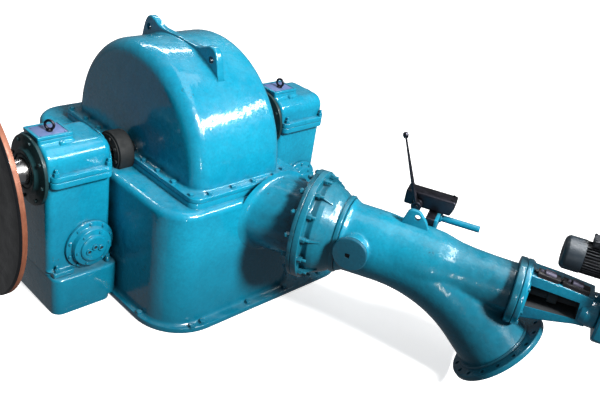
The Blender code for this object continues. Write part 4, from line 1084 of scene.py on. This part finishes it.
def build_yoke():
    """Casting with an open, dark window between the sleeve's flange and the gear case."""
    start, rod_z = SLEEVE_END + GAP, 0.024
    disc = lathe([(start, PAIR_R), (start + 0.026, PAIR_R), (start + 0.027, 0.120, 0.006),
                  (start + 0.034, 0.108)], 0.006, 5, 96)
    side = outline([(0.985, -0.099, 0.0), (1.123, -0.067, 0.03), (1.223, -0.042, 0.03), (1.262, -0.040, 0.0),
                    (1.262, 0.104, 0.0), (1.12, 0.119, 0.0), (0.985, 0.125, 0.0)], 4)
    window = outline([(1.008, -0.030, 0.003), (1.220, -0.016, 0.003), (1.214, 0.068, 0.003),
                      (1.008, 0.078, 0.003)], 4)
    body = cut(slab(side, -0.062, 0.062, 0.008, 4, "Y"), slab(window, -0.2, 0.046, 0.001, 1, "Y"))
    barrel = lathe([(1.225, 0.072), (1.250, 0.076), (GEAR_START, 0.078)], 0.008, 3, 72)
    piece("yoke", joined(disc, body, moved(barrel, at(0, 0, 0.020))), "blue", NOZZLE, "needle_yoke")
    liner = skin([[(p.x, y, p.y) for p in shifted(window, 0.0005)] for y in (-0.0585, 0.0450)], caps=False)
    back = skin([[(p.x, y, p.y) for p in window] for y in (0.0446, 0.0456)])
    needle = lathe([(1.002, 0.019), (1.09, 0.019), (1.09, 0.030), (1.13, 0.030), (1.13, 0.016),
                    (1.221, 0.016)], 0.002, 3, 40)
    piece("yoke_inside", joined(liner, back, moved(needle, at(0, 0, rod_z))), "shade", NOZZLE)


def cable_gland(start_r, length, sides, axis="X"):
    """Short stub with a smaller nose, turned to point backwards."""
    points = [(0.0, start_r), (length, start_r), (length, start_r - 0.003), (length + 0.004, ON_AXIS)]
    return moved(lathe(points, 0.001, 2, sides, axis), Matrix.Rotation(math.pi, 4, "Z"))


def build_switches():
    """Two limit switches on the yoke's sloping top, each with its bed, cap, roller and cable gland."""
    for tag, low, high, base in (("a", 1.017, 1.112, 0.1195), ("b", 1.121, 1.236, 0.1120)):
        place = NOZZLE @ at((low + high) / 2, -0.032, base) @ Matrix.Rotation(math.radians(4.5), 4, "Y")
        half = (high - low) / 2
        body = block(-half, half, -0.023, 0.023, 0.0, 0.020)
        bed = block(-half + 0.006, half - 0.006, -0.026, 0.026, -0.003, 0.004, 0.0015, 2)
        gland = moved(cable_gland(0.008, 0.012, 20), at(-half + 0.002, 0.004, 0.010))
        piece("switch_body_" + tag, joined(body, bed, gland), "plastic", place, "limit_switch_" + tag)
        cap = block(-0.020, 0.026, -0.017, 0.017, 0.018, 0.031)
        roller = moved(rod(-0.006, 0.006, 0.007, 0.001, 2, 24, "Y"), at(-0.032, 0.0, 0.021))
        piece("switch_cap_" + tag, joined(cap, roller), "lilac", place)


def build_gear_case():
    upright = Matrix(((0, 0, 1, 0), (1, 0, 0, 0), (0, 1, 0, 0), (0, 0, 0, 1)))
    case = slab(rectangle(-0.095, 0.095, -0.085, 0.345, 0.03), GEAR_START + GAP, 1.425, 0.012, 5)
    screws = [moved(bolt(0.012), pointing((1.4245, y, z), (1, 0, 0)))
              for z in (-0.07, 0.13, 0.33) for y in (-0.082, 0.082)]
    piece("gear_box", joined(moved(case, upright), *screws), "blue", NOZZLE, "gear_case")


def build_motor():
    """Finned motor with its fan cowl, cowl grille and connection box."""
    place = NOZZLE @ at(0, 0, MOTOR_Z)
    core = lathe([(1.165, 0.058), (1.262, 0.058), (1.264, MOTOR_R), (GEAR_START, MOTOR_R)], 0.003, 3, 72)
    # No fins within box_degrees of the top, where the connection box stands
    fins, fin_count, box_degrees = [], 34, 24
    for k in range(fin_count):
        a = 2 * math.pi * k / fin_count
        if abs(math.degrees(a) - 90) >= box_degrees:
            fin = block(1.166, 1.262, -0.0014, 0.0014, 0.055, 0.0695, 0.0008, 1)
            fins.append(moved(fin, Matrix.Rotation(a - math.pi / 2, 4, "X")))
    piece("motor_shell", joined(core, *fins), "slate_dark", place, "motor_body")

    sheet, grille = 0.003, 1.0815
    cowl = lathe([(grille, 0.020), (grille, 0.060, 0.012), (1.094, MOTOR_R, 0.016), (1.1645, MOTOR_R),
                  (1.1645, MOTOR_R - sheet), (1.098, MOTOR_R - sheet), (1.086, 0.056), (1.086, 0.020)],
                 0.002, 6, 80, ring=True)
    bars = [collar(grille, grille + 0.003, r - 0.0022, r + 0.0022, 0, 0, 48)
            for r in (0.014, 0.026, 0.038, 0.050)]
    for k in range(6):
        spoke = block(grille + 0.001, grille + 0.004, -0.002, 0.002, 0.0, 0.058, 0.0)
        bars.append(moved(spoke, Matrix.Rotation(math.pi * k / 3, 4, "X")))
    piece("motor_cowl", joined(cowl, *bars), "slate", place, "motor_fan_cowl")
    # Near-black disc behind the grille, painted shade inside the cowl
    piece("motor_fan", rod(1.090, 1.092, 0.055, 0, 0, 48), "hollow", place)

    bottom, top = MOTOR_R - sheet + GAP, MOTOR_R + 0.028
    box = slab(rectangle(1.182, 1.246, -0.034, 0.034, 0.006, 5), bottom, bottom + 0.022, 0.002, 3)
    lid = slab(rectangle(1.180, 1.248, -0.036, 0.036, 0.006, 5), bottom + 0.0225, top, 0.003, 3)
    gland = moved(cable_gland(0.009, 0.014, 24, "Y"), at(1.213, -0.032, bottom + 0.012))
    screws = copies_at(bolt(0.007), top, [(x, y) for x in (1.187, 1.241) for y in (-0.029, 0.029)])
    piece("motor_connection_box", joined(box, lid, gland, *screws), "slate_dark", place, "motor_terminal_box")


# Deflector gear

def build_deflector():
    """Dark bracket and case with the hand lever, and the blue clamp plate that carries the tube."""
    case_low, case_top, case_near, edge = 0.150, 0.222, 0.182, 0.008
    foot_near, foot_far, foot_low = 0.105, 0.235, 0.085
    bracket = joined(block(0.495, 0.535, foot_near, foot_far, foot_low, case_low - GAP, 0.004),
                     block(0.486, 0.5345, foot_near, 0.150, foot_low, 0.105))
    piece("deflector_foot", bracket, "dark", NOZZLE, "deflector_bracket")
    side = outline([(0.372, case_low, edge), (0.590, case_low, edge), (0.603, 0.187, edge),
                    (0.603, case_top, edge), (0.372, case_top, edge)], 5)
    case = slab(side, case_near, 0.262, 0.006, 4, "Y")
    lid = block(0.384, 0.591, 0.190, 0.254, 0.219, 0.2225, 0.001, 2)
    pin_at = at(LEVER_AT[0], 0.0, LEVER_AT[2])
    pin = moved(rod(0.14, 0.19, 0.012, 0.001, 2, 28, "Y"), pin_at)
    boss = moved(lathe([(0.1745, 0.024), (0.184, 0.026)], 0.002, 3, 40, "Y"), pin_at)
    spots = [(x, y) for x in (0.392, 0.585) for y in (0.197, 0.247)]
    screws = copies_at(bolt(0.010), case_top + 0.0002, spots)
    piece("deflector_box", joined(case, lid, pin, boss, *screws), "dark", NOZZLE, "deflector_case")

    tube_at = at(0.0, 0.205, 0.119)
    tube = lathe([(0.545, 0.0155), (0.735, 0.0155), (0.737, 0.0145), (0.737, 0.012), (0.733, 0.011)],
                 0.0008, 3, 40)
    tube_collar = rod(0.551, 0.560, 0.022, 0.002, 3, 40)
    clamp = block(0.535 + GAP, 0.552, foot_near, foot_far, foot_low, case_low - GAP)
    piece("deflector_tube", joined(moved(tube, tube_at), moved(tube_collar, tube_at), clamp), "blue", NOZZLE,
          "deflector_cylinder")

    top = LEVER_LENGTH
    hub = collar(-0.012, 0.012, 0.0126, 0.024, 0.0015, 3, 44, "Y")
    stem = lathe([(0.018, 0.0105), (0.050, 0.0098), (top - 0.030, 0.0046), (top - 0.020, 0.0052),
                  (top - 0.016, 0.0105, 0.003), (top - 0.004, 0.0136, 0.008), (top + 0.007, 0.0105, 0.006),
                  (top + 0.011, ON_AXIS)], 0.001, 4, 36, "Z")
    lean = NOZZLE @ at(*LEVER_AT) @ Matrix.Rotation(LEVER_LEAN, 4, "Y")
    piece("lever_arm", joined(hub, stem), "dark", lean, "deflector_lever", "lever")


# Stage

def build_stage():
    """Floor that curves up into a backdrop far behind the machine, on every side."""
    bend_start, bend_r, wall_top, middle = 26.0, 9.0, 60.0, Vector((0.0, 0.0, 20.0))
    profile = [(0.0, 0.0)] + [(bend_r * (1 - c), bend_start + bend_r * s) for s, c in quarter(12)]
    profile.append((wall_top, bend_start + bend_r))
    bm = turned(profile, 96, "Z", caps=False)
    for face in bm.faces:
        face.smooth = True
        if face.normal.dot(middle - face.calc_center_median()) < 0:
            face.normal_flip()
    mesh = bpy.data.meshes.new("floor")
    bm.to_mesh(mesh)
    bm.free()
    mesh.materials.append(pale_floor())
    floor = bpy.data.objects.new("floor", mesh)
    floor.location = (0, 0, -0.001)
    # The floor is only looked at: it doesn't light the machine or show in its enamel
    floor.visible_diffuse = floor.visible_glossy = floor.visible_shadow = False
    bpy.context.scene.collection.objects.link(floor)


def area_light(name, place, target, size, power, card=True):
    """Lamp placed in the machine's own frame; a card only shows as a reflection."""
    data = bpy.data.lights.new(name, "AREA")
    data.shape = "RECTANGLE"
    data.size, data.size_y = size
    data.energy = power
    lamp = bpy.data.objects.new(name, data)
    lamp.location = MACHINE @ Vector(place)
    lamp.rotation_euler = (Vector(target) - Vector(place)).to_track_quat("-Z", "Y").to_euler()
    lamp.visible_camera = False
    lamp.visible_diffuse = not card
    bpy.context.scene.collection.objects.link(lamp)


def build_lights():
    """A sun from the inlet side, a soft lamp above, and cards that draw the streaks on the enamel."""
    sky_colour, sky_strength = (0.90, 0.94, 1.0, 1), 0.15
    sun_power, sun_colour, sun_spread = 5.9, (1.0, 0.99, 0.97), math.radians(12.0)
    sun_direction = Vector((-0.745, -0.085, -0.66))
    world = bpy.data.worlds.new("studio")
    world.use_nodes = True
    back = world.node_tree.nodes["Background"]
    back.inputs["Color"].default_value = sky_colour
    back.inputs["Strength"].default_value = sky_strength
    bpy.context.scene.world = world
    data = bpy.data.lights.new("key", "SUN")
    data.energy, data.color, data.angle = sun_power, sun_colour, sun_spread
    key = bpy.data.objects.new("key", data)
    key.rotation_euler = sun_direction.to_track_quat("-Z", "Y").to_euler()
    bpy.context.scene.collection.objects.link(key)
    # Name, place, target, size and power in watts
    area_light("top", (0.97, 0.85, 4.6), (0.67, 0.15, 0.6), (3.0, 2.0), 35, card=False)
    area_light("window", (2.11, 1.02, 2.29), (0.35, 0.22, 1.1), (2.6, 0.16), 38)
    area_light("window_low", (1.85, 0.75, 1.85), (0.15, -0.66, 0.74), (1.3, 0.12), 16)
    area_light("rear_bar", (-1.55, 0.6, 2.75), (0.0, 0.0, 1.2), (2.3, 0.16), 22)
    area_light("low_bar", (3.0, -1.45, 0.7), (1.9, 0.45, 0.45), (0.05, 0.6), 6)
    area_light("floor_card", (-2.5, -4.0, -1.5), (-1.0, -1.0, 1.0), (9.0, 6.0), 18)


def build_camera():
    data = bpy.data.cameras.new("camera")
    data.lens = CAMERA_LENS
    data.sensor_width = SENSOR_WIDTH
    data.sensor_fit = "HORIZONTAL"
    camera = bpy.data.objects.new("camera", data)
    columns = (CAMERA_RIGHT, CAMERA_UP, CAMERA_BACK, MACHINE @ CAMERA_AT)
    camera.matrix_world = Matrix([[column[i] for column in columns] for i in range(3)] + [[0, 0, 0, 1]])
    bpy.context.scene.collection.objects.link(camera)
    bpy.context.scene.camera = camera


bpy.context.scene.view_settings.view_transform = "Standard"
build_camera()
build_stage()
build_lights()
build_casing()
build_cover()
build_lifting_rib()
build_shaft_seals()
build_rotor()
build_bearings()
build_nozzle()
build_elbow()
build_yoke()
build_switches()
build_gear_case()
build_motor()
build_deflector()
